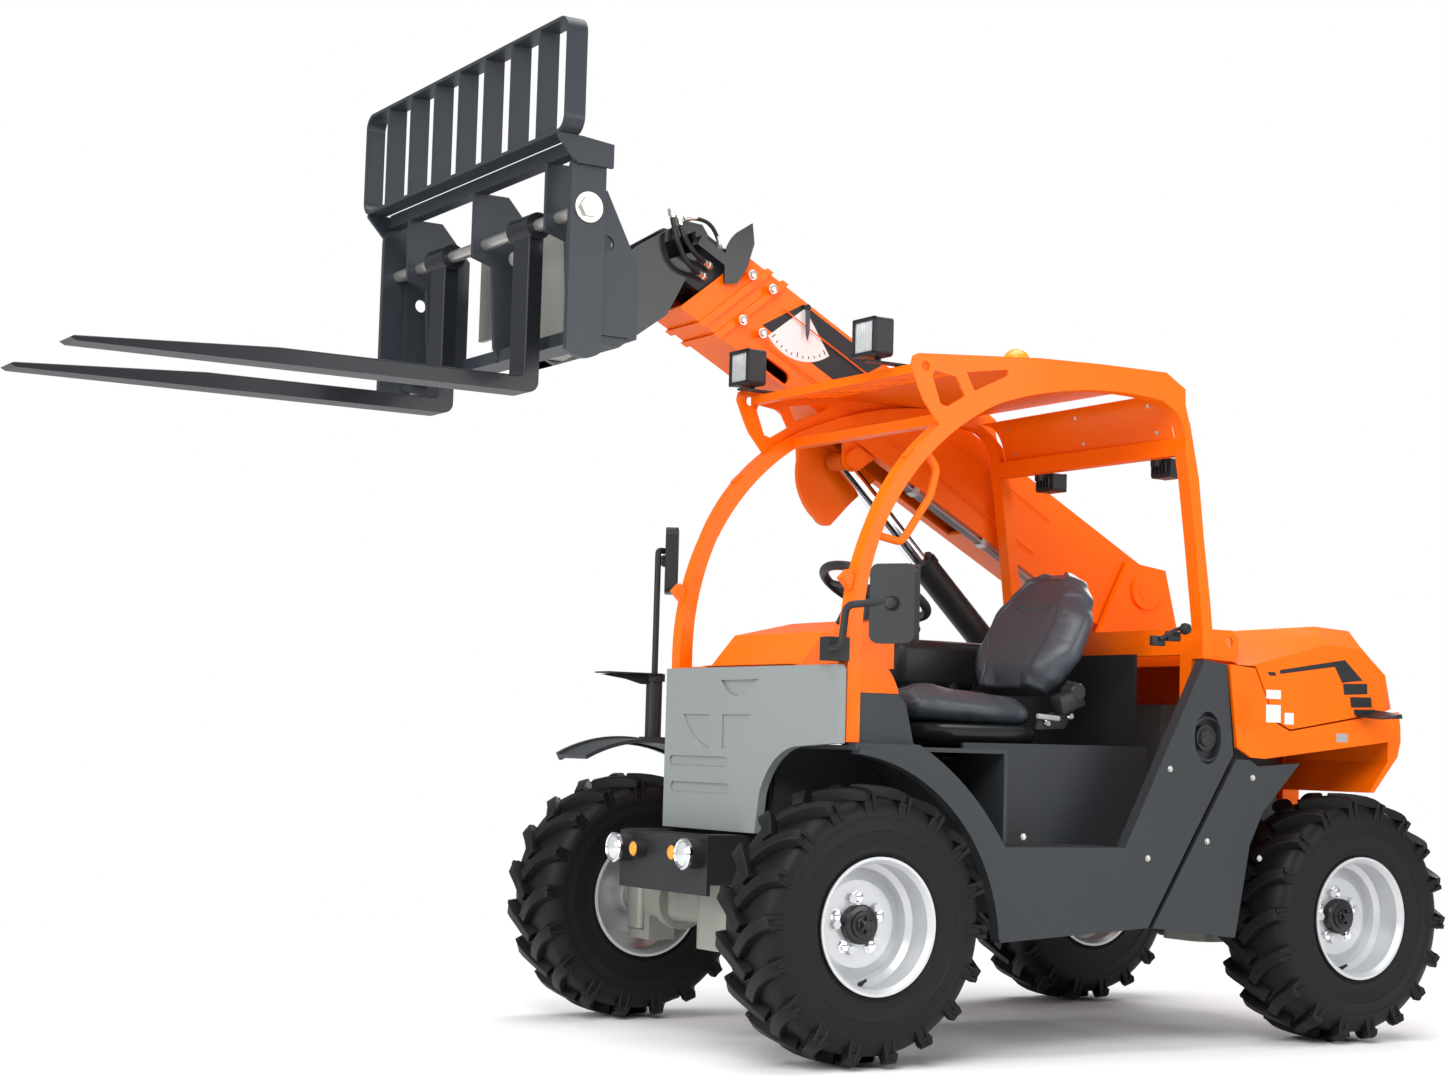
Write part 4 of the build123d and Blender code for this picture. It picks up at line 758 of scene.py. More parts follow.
def add_sticker(build, outline, origin, across, up, panel, cell=0.02, lift=0.0006):
    """Drops an outline on a panel along across x up, seen from outside."""
    outward = across.cross(up).normalized()
    sheet = bmesh.new()
    sheet.faces.new([sheet.verts.new(origin + across * a * MM + up * b * MM) for a, b in outline])
    bmesh.ops.triangulate(sheet, faces=sheet.faces[:])
    for _ in range(7):
        long_edges = [edge for edge in sheet.edges if edge.calc_length() > cell]
        if not long_edges:
            break
        bmesh.ops.subdivide_edges(sheet, edges=long_edges, cuts=1)
        bmesh.ops.triangulate(sheet, faces=[f for f in sheet.faces if len(f.verts) > 3])
    for vert in sheet.verts:
        hit = panel_tree(panel).ray_cast(vert.co + outward * ray_start, -outward, ray_reach)[0]
        if hit is not None:
            vert.co = hit
    lowered = sheet.verts[:]
    made = bmesh.ops.extrude_face_region(sheet, geom=sheet.faces[:])
    for item in made["geom"]:
        if isinstance(item, bmesh.types.BMVert):
            item.co += outward * lift
    for vert in lowered:
        vert.co -= outward * lift
    mesh = mesh_of("sticker", sheet)
    build.from_mesh(mesh)
    bpy.data.meshes.remove(mesh)


def sticker_piece(name, outlines, place, material, body, panel, lift=0.0006):
    """One piece of stickers on a panel; place is their origin, across and up."""
    build = bmesh.new()
    for outline in outlines:
        add_sticker(build, outline, *place, panel, lift=lift)
    new_piece(name, build, material, body)


print("stickers ready")

# %% Stripes on the engine hood and blank labels
left_side = (spot(0, 800, 0), BACK, UP)      # drawn in millimetres behind the front axle and above the ground
hood_marks = (
    ((1450, 1120), (1479, 1121), (1486, 1110), (1457, 1109)),
    ((1500, 1128), (1774, 1170), (1853, 1109), (1762, 1099), (1731, 1147), (1502, 1116)),
    ((1766, 1096), (1874, 1100), (1875, 1068), (1772, 1062)),
    ((1797, 1056), (1893, 1058), (1897, 1028), (1803, 1024)),
    ((1814, 1018), (1913, 1020), (1919, 993), (1820, 988)),
)
sticker_piece("hood_stripes", hood_marks, left_side, satin_black, "hood", "hood")      # only where they show

label_rows = (
    # name, body, panel, finish, near end, far end, low, high (mm)
    ("hood_label_low", "hood", "hood", blank_white, 1347, 1405, 966, 1018),
    ("hood_label_high", "hood", "hood", blank_white, 1347, 1405, 1036, 1062),
    ("hood_label_tall", "hood", "hood", blank_white, 1422, 1458, 962, 996),
    ("rear_label", "chassis", "rear_body", blank_grey, 1739, 1787, 916, 942),
)
for name, body, panel, material, near, far, low, high in label_rows:
    outline = ((near, low), (far, low), (far, high), (near, high))
    sticker_piece(name, (outline,), left_side, material, body, panel)
print(len(hood_marks), "stripes and", len(label_rows), "blank labels")

# %% [markdown]
# ### The boom's angle dial
# The dial is a white fan on the boom's side. Its pointer hangs upright from the fan's corner and rides on
# the boom. Thin plates laid on the black band are enough, because the dial is a printed sticker.

# %% Boom axes, dial and band
boom_turn = math.radians(28)
boom_run = Vector((math.cos(boom_turn), 0, math.sin(boom_turn)))
boom_rise = Vector((-math.sin(boom_turn), 0, math.cos(boom_turn)))


def boom_spot(u, v, y):
    """A point along and square to the boom from its pivot, at a distance from the middle (mm)."""
    return spot(-1795, y, 1423) + boom_run * u * MM + boom_rise * v * MM


def boom_sticker(name, outlines, material, lift=0.0006):
    """Stickers on the boom's left side, drawn along and square to the boom."""
    turned = [[(-u, v) for u, v in reversed(outline)] for outline in outlines]
    sticker_piece(name, turned, (boom_spot(0, 0, -200), -boom_run, boom_rise), material,
                  "boom_outer", "boom_outer", lift)


boom_face = -273
dial_pivot = Vector((1628, 66))
dial_reach = 172


def dial_ray(start, span, share):
    """A direction on the dial, from degrees."""
    angle = math.radians(start + span * share)
    return Vector((math.cos(angle), math.sin(angle)))


fan = [dial_pivot] + [dial_pivot + dial_ray(-152, 87, i / 12) * dial_reach for i in range(13)]
boom_sticker("boom_band", (((1735, -72), (1640, 74), (1290, 74), (1385, -72)),), satin_black)
boom_sticker("angle_dial", (fan,), blank_white, 0.0011)
print("fan of", len(fan), "points")

# %% Ticks and pointer
tick_half_width, tick_gap, long_tick, short_tick = 1.7, 10, 16, 9      # mm
ticks = []
for i in range(11):
    ray = dial_ray(-148, 79, i / 10)
    square = Vector((-ray.y, ray.x)) * tick_half_width
    outer = dial_pivot + ray * (dial_reach - tick_gap)
    inner = outer - ray * (long_tick if i % 5 == 0 else short_tick)
    ticks.append([inner - square, outer - square, outer + square, inner + square])
boom_sticker("dial_ticks", ticks, satin_black, 0.0016)
build = bmesh.new()
pointer_top = boom_spot(*dial_pivot, boom_face)
needle = ((-9, 6), (-6, -85), (0, -105), (6, -85), (9, 6), (0, 12))      # millimetres ahead and up
add_plate(build, [(a * MM, b * MM) for a, b in needle], pointer_top + LEFT * 0.004, AHEAD, UP, -0.003)
add_turned(build, ((0, 0), (0.011, 0), (0.011, 0.006), (0.006, 0.009), (0, 0.009)), pointer_top, LEFT, 20)
new_piece("dial_pointer", build, black_paint, "boom_outer")
print("dial with", len(ticks), "ticks")

# %% [markdown]
# ## The seat
# The cushion and the back are foam shells under vinyl. Each starts as a closed form a little too small,
# with raised side bolsters. It is remeshed, blown up by a short cloth simulation whose movement is capped,
# and smoothed once. The sewn channels and the stitches come after that, because a remesh would erase them.

# %% A padded form
def lerp_rows(rows, at):
    """Value between the rows of a short table of position and value."""
    for (a, low), (b, high) in zip(rows, rows[1:]):
        if at <= b:
            share = (at - a) / (b - a)
            share = share * share * (3 - 2 * share)
            return low + (high - low) * share
    return rows[-1][1]


def rounded(value, power):
    """A cosine or sine raised to a power with its sign kept, for rounded rectangles."""
    return math.copysign(abs(value) ** power, value)


def pad_form(name, length, width_rows, front_rows, back_rows, bolster, origin, along, across, outward):
    """A closed pad: half width, front and back thickness along its length, and bolsters at its sides."""
    build = bmesh.new()
    steps, sides = 30, 40
    rings = []
    for i in range(steps + 1):
        t = length * (0.5 - 0.5 * math.cos(math.pi * i / steps))
        half = lerp_rows(width_rows, t)
        ring = []
        for j in range(sides):
            angle = math.tau * j / sides
            u, lift = rounded(math.cos(angle), 0.55), rounded(math.sin(angle), 0.6)
            if lift > 0:
                depth = lerp_rows(front_rows, t) + bolster * math.exp(-((abs(u) - 0.74) / 0.2) ** 2)
            else:
                depth = lerp_rows(back_rows, t)
            ring.append(build.verts.new(origin + along * t + across * u * half + outward * lift * depth))
        rings.append(ring)
    skin_rings(build, rings)
    bmesh.ops.recalc_face_normals(build, faces=build.faces)
    return show(name, mesh_of(name, build))


print("pad form ready")

# %% [markdown]
# ### Inflating and sewing
# Foam pushes its cover out evenly, so a little pressure without gravity gives the crown. The cap on the
# movement keeps the outline, since foam doesn't grow as a balloon does. A seam pulls the cover in, so points
# near its path are pressed in, and less so with their distance.

# %% Inflating it
cloth_steps = 20
cloth_cap = 0.008      # metres that a point may move
voxel = 0.0065         # metres between the points of a remeshed form


def bake_modifiers(piece):
    """Replaces a piece's mesh by its evaluated one and drops the modifiers."""
    mesh = bpy.data.meshes.new_from_object(piece.evaluated_get(bpy.context.evaluated_depsgraph_get()))
    piece.modifiers.clear()
    piece.data = mesh


def inflate(piece):
    """Remesh, blow up under pressure, cap the movement, smooth once."""
    remesh = piece.modifiers.new("remesh", "REMESH")
    remesh.mode = "VOXEL"
    remesh.voxel_size = voxel
    bake_modifiers(piece)
    start = [vert.co.copy() for vert in piece.data.vertices]
    cloth = piece.modifiers.new("cloth", "CLOTH")
    cloth.settings.use_pressure = True
    cloth.settings.uniform_pressure_force = 4
    cloth.settings.effector_weights.gravity = 0
    cloth.point_cache.frame_start, cloth.point_cache.frame_end = 1, cloth_steps
    for step in range(1, cloth_steps + 1):
        scene.frame_set(step)
    bake_modifiers(piece)
    scene.frame_set(1)
    for vert, old in zip(piece.data.vertices, start):
        move = vert.co - old
        if move.length > cloth_cap:
            vert.co = old + move * (cloth_cap / move.length)
    smooth = piece.modifiers.new("smooth", "SMOOTH")
    smooth.factor, smooth.iterations = 0.5, 6
    divide = piece.modifiers.new("divide", "SUBSURF")
    divide.levels = divide.render_levels = 1
    bake_modifiers(piece)
    piece.data.materials.clear()
    piece.data.materials.append(vinyl)
    piece.data.polygons.foreach_set("use_smooth", [True] * len(piece.data.polygons))


print("cloth of", cloth_steps, "steps ready")

# %% Sewing it
stitch_step, stitch_gap = 0.004, 0.006      # along the seam, and from its middle to the stitches (m)
seam_depth, seam_reach = 0.0035, 0.011      # of the pressed channel, and to each side of it (m)
build = bmesh.new()
add_turned(build, ((0, -0.0026), (0.0007, -0.0022), (0.0009, 0), (0.0007, 0.0022), (0, 0.0026)),
           UP * 0.0004, AHEAD, 6)
stitch_sample = sample_of("stitch", build)


def seam_on(tree, path, outward):
    """Close points of a path dropped on a pad, each with the pad's normal there."""
    dense = []
    for a, b in zip(path, path[1:]):
        count = max(1, round((b - a).length / stitch_step))
        dense += [a.lerp(b, i / count) for i in range(count)]
    hits = [tree.ray_cast(point + outward * 0.2, -outward)[:2] for point in dense + [path[-1]]]
    return [(hit, normal) for hit, normal in hits if hit is not None]


def sew(piece, name, paths, outward):
    """Presses channels into a pad along paths and lays a row of stitches beside each of them."""
    mesh = piece.data
    tree = BVHTree.FromPolygons([v.co[:] for v in mesh.vertices], [p.vertices[:] for p in mesh.polygons])
    seams = [seam_on(tree, path, outward) for path in paths]
    laid = [point for seam in seams for point in seam]
    near = KDTree(len(laid))
    for i, (hit, normal) in enumerate(laid):
        near.insert(hit, i)
    near.balance()
    for vert in mesh.vertices:
        place, index, distance = near.find(vert.co)
        if distance < seam_reach:
            vert.co -= laid[index][1] * seam_depth * (1 - distance / seam_reach) ** 2
    stitches = []
    for seam in seams:
        for (hit, normal), (after, _) in list(zip(seam, seam[1:]))[::2]:
            run = (after - hit).normalized()
            beside = normal.cross(run).normalized() * stitch_gap
            stitches.append((hit + beside - normal * 0.0006, normal, run))
    copies_of(name, stitch_sample, stitches, stitch_thread)
    return len(stitches)


def seat_pad(name, stitches, node, form, frame_axes, seams):
    """Makes, inflates and sews one pad; seams are drawn in millimetres across and along it."""
    origin, along, outward = frame_axes
    pad = pad_form(name, *form, origin, along, LEFT, outward)
    inflate(pad)
    paths = [[origin + LEFT * u * MM + along * t * MM for u, t in seam] for seam in seams]
    count = sew(pad, stitches, paths, outward)
    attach(pad, "chassis")
    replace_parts(pad, node)
    print(name, "has", len(pad.data.polygons), "faces and", count, "stitches")


# %% [markdown]
# ### Back and cushion
# Both pads could be cut from foam and covered with sewn panels of vinyl. Here one function shapes, inflates
# and sews them, and only their tables differ. The back has a channel up each side, one across and one round
# its head. The cushion has one along each side and one across.

# %% Seat back
seat_y = 220
lean = math.radians(27)
back_axes = (spot(-850, seat_y, 1035), Vector((-math.sin(lean), 0, math.cos(lean))),
             Vector((math.cos(lean), 0, math.sin(lean))))
back_side = ((105, 8), (104, 60), (116, 105), (138, 150), (146, 200), (138, 250), (118, 292))
head_side = ((118, 292), (106, 335), (82, 366), (45, 380))
seat_pad("seat_back_pad", "back_stitches", "seat_back", (
    0.425,
    ((0, 0.160), (0.05, 0.195), (0.14, 0.234), (0.24, 0.230), (0.33, 0.190), (0.39, 0.140), (0.425, 0.070)),
    ((0, 0.030), (0.08, 0.044), (0.25, 0.040), (0.38, 0.030), (0.425, 0.014)),
    ((0, 0.040), (0.10, 0.050), (0.33, 0.044), (0.425, 0.018)),
    0.026,
), back_axes, (
    [(-u, t) for u, t in back_side],
    back_side,
    [(u, 300 - 38 * math.cos(math.pi * u / 250)) for u in range(-118, 119, 12)],
    [(-u, t) for u, t in head_side] + [(0, 384)] + list(reversed(head_side)),
))

# %% Seat cushion
cushion_axes = (spot(-812, seat_y, 972), Vector((1, 0, 0.05)).normalized(),
                Vector((-0.05, 0, 1)).normalized())
cushion_side = ((108, 20), (112, 120), (132, 220), (146, 320), (150, 400), (140, 462))
seat_pad("seat_cushion_pad", "cushion_stitches", "seat_cushion", (
    0.495,
    ((0, 0.150), (0.06, 0.205), (0.20, 0.228), (0.38, 0.224), (0.46, 0.205), (0.495, 0.150)),
    ((0, 0.014), (0.10, 0.018), (0.30, 0.022), (0.42, 0.034), (0.495, 0.016)),
    ((0, 0.036), (0.25, 0.042), (0.44, 0.046), (0.495, 0.024)),
    0.024,
), cushion_axes, (
    [(-u, t) for u, t in cushion_side],
    cushion_side,
    [(u, 330 + 26 * math.cos(math.pi * u / 290)) for u in range(-144, 145, 12)],
))

# %% [markdown]
# ### Pan and bellows
# Under the cushion sits a moulded pan on a suspension that hides in rubber bellows. A pleat is one wave of a
# turned profile, stretched to a rounded rectangle, so the bellows are built as stacked rings.

# %% Pan and bellows
def rounded_ring(build, centre, half_x, half_y, power, z, count=56):
    """One ring of a rounded rectangle."""
    return [build.verts.new(centre + Vector((half_x * rounded(math.cos(a), power),
                                             half_y * rounded(math.sin(a), power), z)))
            for a in (math.tau * i / count for i in range(count))]


base_centre, pan_centre = spot(-640, seat_y, 0), spot(-575, seat_y, 0)
corner_power, pan_power = 0.35, 0.42
pleats, pleat_steps, pleat_low, pleat_height = 4, 8, 0.640, 0.056
build = bmesh.new()
rings = [rounded_ring(build, base_centre, 0.150, 0.160, corner_power, pleat_low - 0.023)]
for i in range(pleats * pleat_steps + 1):
    turns = i / pleat_steps
    swell = 0.042 * (0.5 - 0.5 * math.cos(math.tau * turns)) + 0.012 * turns
    rings.append(rounded_ring(build, base_centre, 0.135 + swell, 0.148 + swell, corner_power,
                              pleat_low + pleat_height * turns))
skin_rings(build, rings)
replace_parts(new_piece("seat_bellows", build, bellows_rubber, smooth=60), "seat_base")

pan_rows = (
    # half length, half width, height above the ground (m)
    (0.170, 0.160, 0.866), (0.215, 0.200, 0.872), (0.238, 0.226, 0.892), (0.246, 0.234, 0.912),
    (0.244, 0.232, 0.930), (0.225, 0.215, 0.936),
)
build = bmesh.new()
skin_rings(build, [rounded_ring(build, pan_centre, *halves, pan_power, z) for *halves, z in pan_rows])
new_piece("seat_pan", build, dark_gloss, smooth=50)
print("bellows of", pleats, "pleats")

# %% [markdown]
# ### Brackets, belt and boxes
# The seat's hardware is what the eye finds beside the cushion: recliner brackets, a belt reel, a handle and
# bolts. Each is a plate, a turned shape or a rounded box, made in place. The pieces that are one box each
# come from a table.

# %% Brackets, belt reel and small boxes
build = bmesh.new()
bracket = ((870, 930), (760, 925), (770, 962), (850, 985), (880, 1075), (915, 1070), (905, 985))
for side in (-1, 1):                              # side brackets with the recliner pivots
    add_plate(build, [(x * MM, z * MM) for x, z in reversed(bracket)],
              spot(0, seat_y + side * 222, 0), BACK, UP, 0.008 * side, bevel=0.001)
new_piece("seat_brackets", build, satin_black)
build = bmesh.new()
add_turned(build, ((0, -0.03), (0.024, -0.03), (0.027, -0.026), (0.027, 0.022), (0.022, 0.028), (0, 0.028)),
           spot(-892, 462, 1040), LEFT, 28)
add_box(build, spot(-870, 462, 1012), (0.095, 0.052, 0.060), Matrix.Rotation(0.35, 3, "Y"), 0.012)
new_piece("belt_reel", build, dark_plastic)
build = bmesh.new()
for x, z in ((-888, 968), (-800, 944)):
    add_turned(build, ((0, 0), (0.012, 0), (0.012, 0.004), (0.008, 0.009), (0, 0.009)),
               spot(x, 451, z), LEFT, 20)
new_piece("seat_bolts", build, hard_chrome)

small_boxes = (
    # name, finish, centre (mm), size (m), pitch (radians), rounding (m), smooth angle
    ("slide_handle", blank_grey, (-790, 470, 962), (0.086, 0.014, 0.016), -0.06, 0.005, 32),
    ("belt_buckle", dark_plastic, (-800, 12, 1015), (0.030, 0.018, 0.110), 0.5, 0.006, 32),
    ("gauge_panel", dark_plastic, (-175, 330, 1246), (0.010, 0.110, 0.075), -0.5, 0.003, 32),
    ("console_lid", dark_plastic, (-800, -111, 1120), (0.400, 0.172, 0.160), 0, 0.034, 60),
)
for name, material, centre, size, pitch, bevel, smooth in small_boxes:
    build = bmesh.new()
    add_box(build, spot(*centre), size, Matrix.Rotation(pitch, 3, "Y"), bevel)
    new_piece(name, build, material, smooth=smooth)
print("seat dressed, with", len(small_boxes), "small boxes in the cab")

# %% [markdown]
# ## Lamps and mirrors
# A work lamp is a black box with a silver reflector behind a clear pane. The pane is modelled as a pale
# ribbed lens that is not see-through, which reads the same from any side and needs no extra light.

# %% Work lamps
work_lamps = (
    # x, y, z of the lamp's centre, width, height, depth and facing (mm)
    (-130, -200, 2014, 110, 110, 60, 1),
    (-110, 500, 2015, 110, 110, 60, 1),
    (-1215, -60, 1735, 90, 60, 50, -1),
    (-1215, 500, 1735, 90, 60, 50, -1),
)
lens_edge, flutes, fins = 22, 9, 5
lens_build, rim_build = bmesh.new(), bmesh.new()
for x, y, z, width, height, depth, facing in work_lamps:
    face = spot(x + facing * depth / 2, y, z)
    out = AHEAD * facing
    add_box(lens_build, face + out * 0.0015, (0.004, (width - lens_edge) * MM, (height - lens_edge) * MM),
            None, 0.0015)
    for i in range(flutes):                       # fine flutes on the lens
        offset = (i - (flutes - 1) / 2) * (width - 30) / flutes
        add_box(lens_build, face + out * 0.0036 + LEFT * offset * MM, (0.0016, 0.0035, (height - 30) * MM))
    for sign in (-1, 1):
        add_box(rim_build, face + out * 0.003 + UP * sign * (height / 2 - 6) * MM,
                (0.010, width * MM, 0.012), None, 0.003)
        add_box(rim_build, face + out * 0.003 + LEFT * sign * (width / 2 - 6) * MM,
                (0.010, 0.012, (height - 4) * MM), None, 0.003)
    for i in range(fins):                         # cooling ribs on the back of the housing
        add_box(rim_build, spot(x - facing * (depth / 2 + 4), y + (i - (fins - 1) / 2) * width / 6, z),
                (0.010, 0.004, (height - 24) * MM), None, 0.001)
new_piece("work_lamp_lenses", lens_build, clear_lens)
new_piece("work_lamp_rims", rim_build, dark_plastic)
print(len(work_lamps), "work lamps")

# %% [markdown]
# ### Front lamps
# The front plate holds two headlamps in bright rings and two amber turn lamps. All are round, so each is one
# turned profile, and a table of profiles makes the pairs.

# %% Front lamps
front_lamps = (
    # name, finish, distance of the pair from the middle, x (mm), facets, profile
    ("headlamp_lenses", clear_lens, 200, 292, 36,
     ((0, 0.014), (0.020, 0.012), (0.032, 0.007), (0.036, 0.0005), (0.036, -0.004), (0, -0.004))),
    ("headlamp_rings", hard_chrome, 200, 292, 36,
     ((0.036, -0.002), (0.044, -0.006), (0.044, 0.003), (0.040, 0.006), (0.036, 0.003))),
    ("turn_lamp_lenses", amber, 110, 278, 28,
     ((0, 0.008), (0.014, 0.006), (0.021, 0.0), (0.021, -0.004), (0, -0.004))),
)
for name, material, apart, x, facets, profile in front_lamps:
    build = bmesh.new()
    for side in (-1, 1):
        add_turned(build, profile, spot(x, side * apart, 545), AHEAD, facets)
    new_piece(name, build, material, smooth=50)
print(len(front_lamps), "kinds of lamp parts at the front")

# %% [markdown]
# ### Mirrors
# A mirror is a plastic head with a thin glass in a raised rim, held by a ball clamp on its back. The head is
# one of the solids; the rim is four small bars, which keep crisp corners where a single ring would round
# them.

# %% Mirrors
mirror_rows = (
    # name, centre (mm), across the glass, out of the glass
    ("left_mirror", (40, 840, 1240), Vector((-0.52, 0.854, 0)), Vector((-0.854, -0.52, 0))),
    ("right_mirror", (-130, -640, 1440), Vector((0.52, 0.854, 0)), Vector((-0.854, 0.52, 0))),
)
clamp_rows = (      # radius and distance behind the head
    (0, 0.036), (0.014, 0.034), (0.019, 0.026), (0.020, 0.018), (0.026, 0.017), (0, 0.017))
for name, place, across, outward in mirror_rows:
    centre = spot(*place)
    matrix = Matrix((across, UP, outward)).transposed()
    build = bmesh.new()
    add_box(build, centre + outward * 0.0195, (0.108, 0.190, 0.003), matrix, 0.001)
    new_piece(name + "_glass", build, mirror_glass)
    build = bmesh.new()
    face = centre + outward * 0.019
    for sign in (-1, 1):
        add_box(build, face + UP * sign * 0.100, (0.126, 0.010, 0.008), matrix, 0.003)
        add_box(build, face + across * sign * 0.0595, (0.010, 0.206, 0.008), matrix, 0.003)
    add_turned(build, clamp_rows, centre, -outward, 24)
    new_piece(name + "_rim", build, dark_plastic)
print(len(mirror_rows), "mirrors dressed")

# %% [markdown]
# ## Panels and trims that the solids leave out
# The rear roof sheet closes the cab behind the driver's head. It is thin and follows the arches, so it is a
# sheet over a short table of points. Subdivision rounds it along its curve, and Solidify gives it its wall,
# which is easier to change than a modelled thickness.

# %% Sheets over a few rows of points
def skinned_sheet(name, rows, thickness, material):
    """A sheet through rows of points, smoothed along its curve and given a thickness."""
    build = bmesh.new()
    grid = [[build.verts.new(point) for point in row] for row in rows]
    for lower, upper in zip(grid, grid[1:]):
        for i in range(len(lower) - 1):
            build.faces.new((lower[i], lower[i + 1], upper[i + 1], upper[i]))
    crease = build.edges.layers.float.new("crease_edge")
    for edge in build.edges:
        if edge.is_boundary:
            edge[crease] = 1.0
    piece = show(name, mesh_of(name, build))
    divide = piece.modifiers.new("divide", "SUBSURF")
    divide.levels = divide.render_levels = 2
    wall = piece.modifiers.new("wall", "SOLIDIFY")
    wall.thickness, wall.offset = thickness, 0
    bake_modifiers(piece)
    build = bmesh.new()
    build.from_mesh(piece.data)
    bpy.data.objects.remove(piece)
    new_piece(name, build, material, smooth=40)


# %% Rear roof sheet
sheet_left, sheet_width = 628, 838
roof_rows = (
    # x and z at the left end, x and z at the right end (mm)
    (-1029, 1928, -1050, 1928),
    (-1068, 1926, -1092, 1924),
    (-1096, 1900, -1120, 1896),
    (-1112, 1860, -1138, 1854),
    (-1126, 1810, -1152, 1802),
)
skinned_sheet("rear_roof_sheet", [
    [spot(left_x + (right_x - left_x) * share, sheet_left - sheet_width * share,
          left_z + (right_z - left_z) * share)
     for share in (i / 6 for i in range(7))]
    for left_x, left_z, right_x, right_z in roof_rows
], 0.003, orange_paint)
sheet_out = Vector((0.85, 0, -0.4)).normalized()
copies_of("roof_sheet_bolts", small_bolt, [
    (spot(x - 22 * share, sheet_left - sheet_width * share, z) + sheet_out * 0.003, sheet_out, LEFT)
    for share in (0.08, 0.5, 0.92) for z, x in ((1914, -1086), (1836, -1124))
], zinc_plate)
print("roof sheet over", len(roof_rows), "rows")

# %% [markdown]
# ### Liner and bracket
# The liner is rolled sheet, so its rows are one arc repeated across the machine. The right mirror stands on a
# flat bracket cut from plate, with a collar round the mirror's tube.

# %% Wheel house liner and mirror bracket
liner_x, liner_z, liner_radius = -8, 470, 430
liner_angles = [math.radians(164 - 68 * i / 8) for i in range(9)]      # from behind to the top
skinned_sheet("wheel_house_liner", [
    [spot(liner_x + liner_radius * math.cos(a), y, liner_z + liner_radius * math.sin(a))
     for a in liner_angles]
    for y in (655, 560, 440, 306)
], 0.008, satin_black)

build = bmesh.new()
bracket = ((-128, 1066), (-80, 1072), (72, 1076), (95, 1040), (18, 1040), (-37, 1054))
add_plate(build, [(x * MM, z * MM) for x, z in bracket], spot(0, -618, 0), BACK, UP, 0.006, bevel=0.001)
add_box(build, spot(20, -625, 1073), (0.200, 0.090, 0.005), None, 0.0015)
add_turned(build, ((0.0262, -0.012), (0.034, -0.012), (0.034, 0.012), (0.0262, 0.012)),
           spot(-70, -620, 1062), UP, 28)
new_piece("mirror_bracket", build, satin_black)
print("liner and bracket")

# %% [markdown]
# ## Boom end
# Between the nose and the carriage the hoses of the tilt cylinder and of the attachment run in short loops
# from steel fittings. They stay on the boom's inner section, clamped at both ends, so they are part of the
# machine's pipework and not free cords.

# %% Hoses and their fittings
nose_hoses = (
    # radius, and points along the boom, square to it, and from the middle (mm)
    (8.5, ((1985, -60, -292), (2035, -78, -262), (2090, -70, -252), (2140, -30, -256), (2170, 20, -276),
           (2178, 52, -300))),
    (8.5, ((1985, -20, -292), (2040, -34, -262), (2096, -26, -254), (2136, 8, -266), (2150, 44, -292))),
    (6.5, ((1980, 60, -300), (2020, 96, -296), (2080, 100, -300), (2120, 70, -306))),
)
hose_build, fitting_build = bmesh.new(), bmesh.new()
for radius, points in nose_hoses:
    path = [boom_spot(*point) for point in points]
    add_tube(hose_build, path, radius * MM, resolution=12)
    core, collar, sleeve = radius * 1.2 * MM, radius * 1.5 * MM, radius * 1.15 * MM
    fitting = ((0, -0.010), (core, -0.010), (collar, -0.006), (collar, 0.010), (sleeve, 0.012),
               (sleeve, 0.034), (0, 0.034))
    for end, inward in ((path[0], path[1]), (path[-1], path[-2])):
        add_turned(fitting_build, fitting, end, inward - end, 6 if radius > 7 else 16)
new_piece("nose_hoses", hose_build, hose_rubber, "boom_inner", smooth=60)
new_piece("nose_fittings", fitting_build, zinc_plate, "boom_inner")
print(len(nose_hoses), "hoses at the nose")

# %% [markdown]
# ### Bolts and folded edges of the boom
# Bolts in pairs hold the slide pads inside the boom's mouth, and the side plate has two faint folds
# along it. A fold this small is a thin bead laid on the plate.

# %% Boom bolts and folded edges
boom_bolts = [(boom_spot(u, v, -259), LEFT, boom_run) for u, v in (
    (1854, 33), (1770, 38), (1813, -111), (1732, -105))]
copies_of("boom_bolts", large_bolt, boom_bolts, zinc_plate, "boom_outer")
build = bmesh.new()
for v in (12, -120):                               # folded edges of the boom's side plate
    add_tube(build, [boom_spot(460, v - 14, -272.6), boom_spot(900, v, -272.6), boom_spot(1700, v, -272.6)],
             0.0022, resolution=8, sides=1)
new_piece("boom_beads", build, orange_paint, "boom_outer", smooth=60)
print(len(boom_bolts), "bolts on the boom")

# %% [markdown]
# ## Axles
# Each axle shows its round covers with a ring of bolts, and hoses run across above the front one. The
# solids hold the casings; the bolts and hoses are added here.

# %% Axle bolts and hoses
cover_y, bolt_circle = 321, 0.074
cover_bolts = [
    (spot(x, side * cover_y, axle_height) + around * bolt_circle, LEFT * side, around)
    for x in (0, rear_axle_x) for side in (1, -1) for around in around_axle(8, 0.5)
]
copies_of("axle_cover_bolts", small_bolt, cover_bolts, zinc_plate)
build = bmesh.new()
for z, radius in ((470, 10), (500, 7), (516, 7)):
    add_tube(build, [spot(150, -240, z), spot(176, -120, z - 14), spot(178, 60, z - 12), spot(150, 230, z)],
             radius * MM)
new_piece("front_pipes", build, hose_rubber, smooth=60)
print(len(cover_bolts), "bolts on the axle covers")

# %% [markdown]
# ## Levers, latch and skirts
# The console carries one tall lever and two short ones. The rear panel gets a latch for the hood, the left
# skirts get their screws, and the fuel cap its grip.

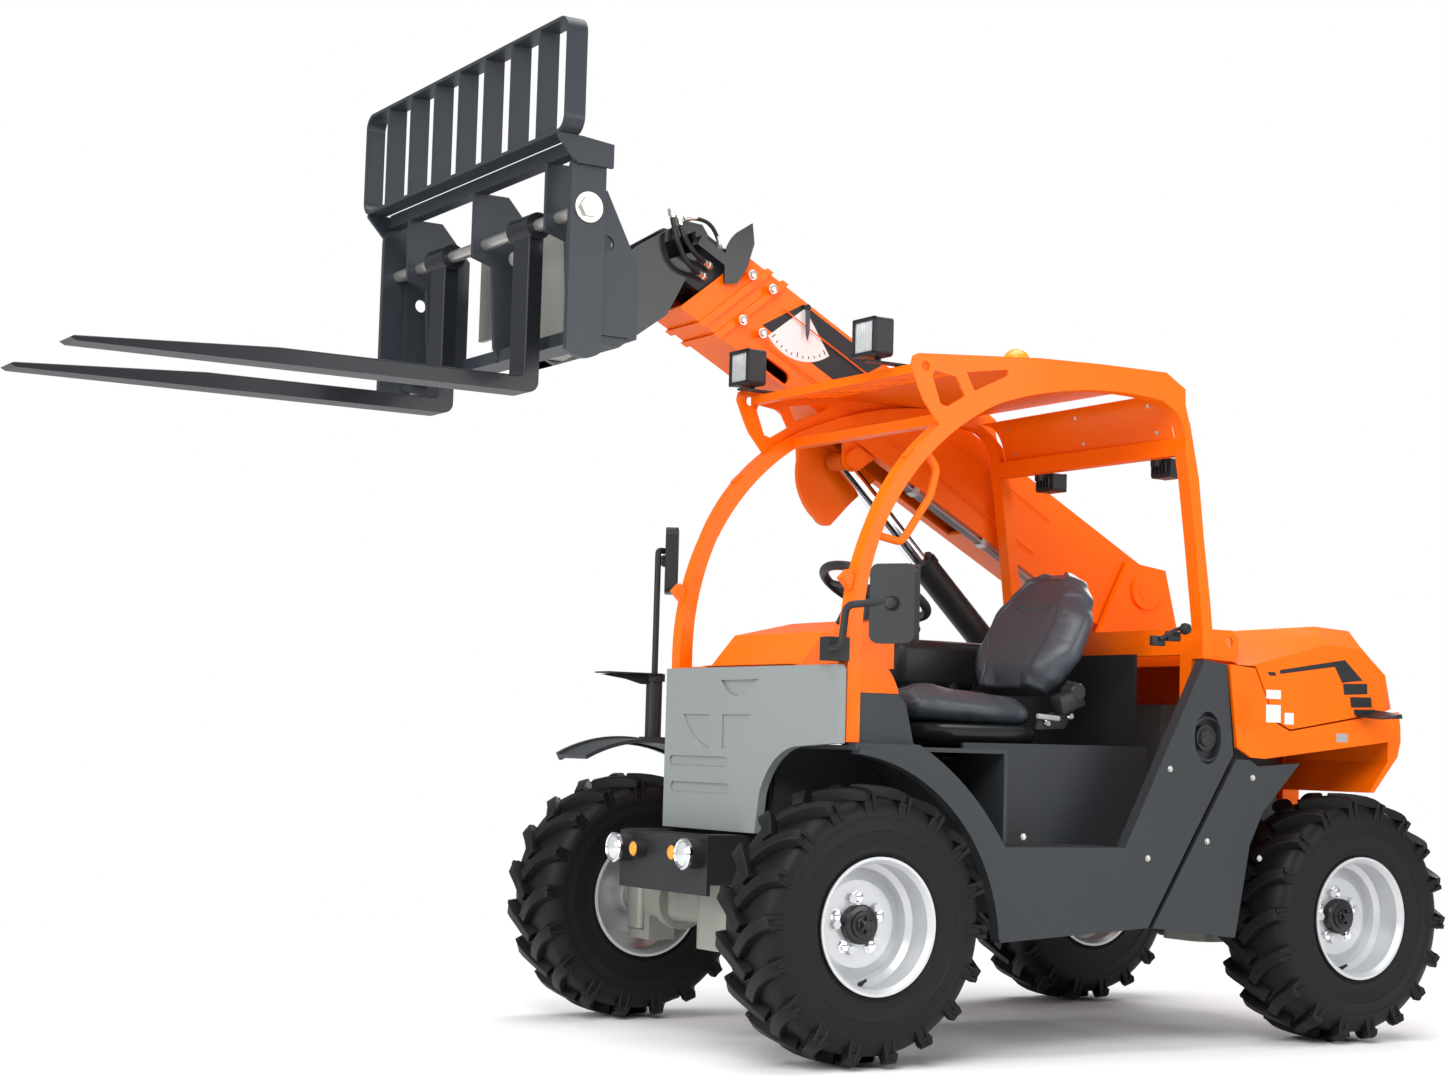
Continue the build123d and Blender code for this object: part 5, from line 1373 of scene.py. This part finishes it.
# %% Levers and latch
build = bmesh.new()
add_tube(build, [spot(-640, -111, 1180), spot(-628, -111, 1240), spot(-640, -108, 1300)], 0.007)
add_turned(build, ((0, 0), (0.020, 0.004), (0.027, 0.030), (0.026, 0.060), (0.016, 0.082), (0, 0.088)),
           spot(-640, -108, 1288), Vector((-0.1, 0, 1)), 24)
for y in (-70, -150):
    add_tube(build, [spot(-700, y, 1180), spot(-696, y, 1230)], 0.005)
    add_turned(build, ((0, 0), (0.011, 0.003), (0.013, 0.014), (0.008, 0.025), (0, 0.027)),
               spot(-696, y, 1222), UP, 18)
new_piece("console_levers", build, satin_black, smooth=50)
build = bmesh.new()
for x, z in ((-1040, 1196), (-1100, 1212)):
    add_box(build, spot(x, 664, z), (0.052, 0.016, 0.030), None, 0.004)
add_tube(build, [spot(-1040, 676, 1200), spot(-1075, 690, 1228), spot(-1112, 684, 1236)], 0.006)
add_turned(build, ((0, 0), (0.016, 0.002), (0.018, 0.012), (0.014, 0.024), (0, 0.026)),
           spot(-1112, 690, 1234), Vector((-0.3, 1, 0)), 20)
new_piece("door_catch", build, satin_black, smooth=50)
print("levers and latch")

# %% [markdown]
# ### Screws and fuel cap
# The skirts are screwed on from outside. The screws are the small bolt again, laid flat on the skirt, and the
# cap's grip is a ring with a bar across, as a hand would find it.

# %% Screws and fuel cap
skirt_face = 700.5
skirt_screws = ((-1062, 820), (-1390, 800), (-1210, 610), (-520, 620), (-980, 560), (-1420, 560))
skirt_rows = [(spot(x, skirt_face, z), LEFT, AHEAD) for x, z in skirt_screws]
copies_of("skirt_screws", small_bolt, skirt_rows, zinc_plate)
build = bmesh.new()
add_turned(build, ((0.060, 0.0), (0.066, 0.0), (0.066, 0.004), (0.060, 0.006)),
           spot(-1210, 694, 911), LEFT, 40)
add_box(build, spot(-1210, 697, 915), (0.060, 0.014, 0.012), Matrix.Rotation(0.5, 3, "Y"), 0.003)
add_turned(build, ((0, 0), (0.026, 0), (0.026, 0.008), (0.020, 0.012), (0, 0.012)),
           spot(-1210, 690, 915), LEFT, 24)
new_piece("fuel_cap_grip", build, dark_plastic)
print(len(skirt_screws), "screws on the skirts")
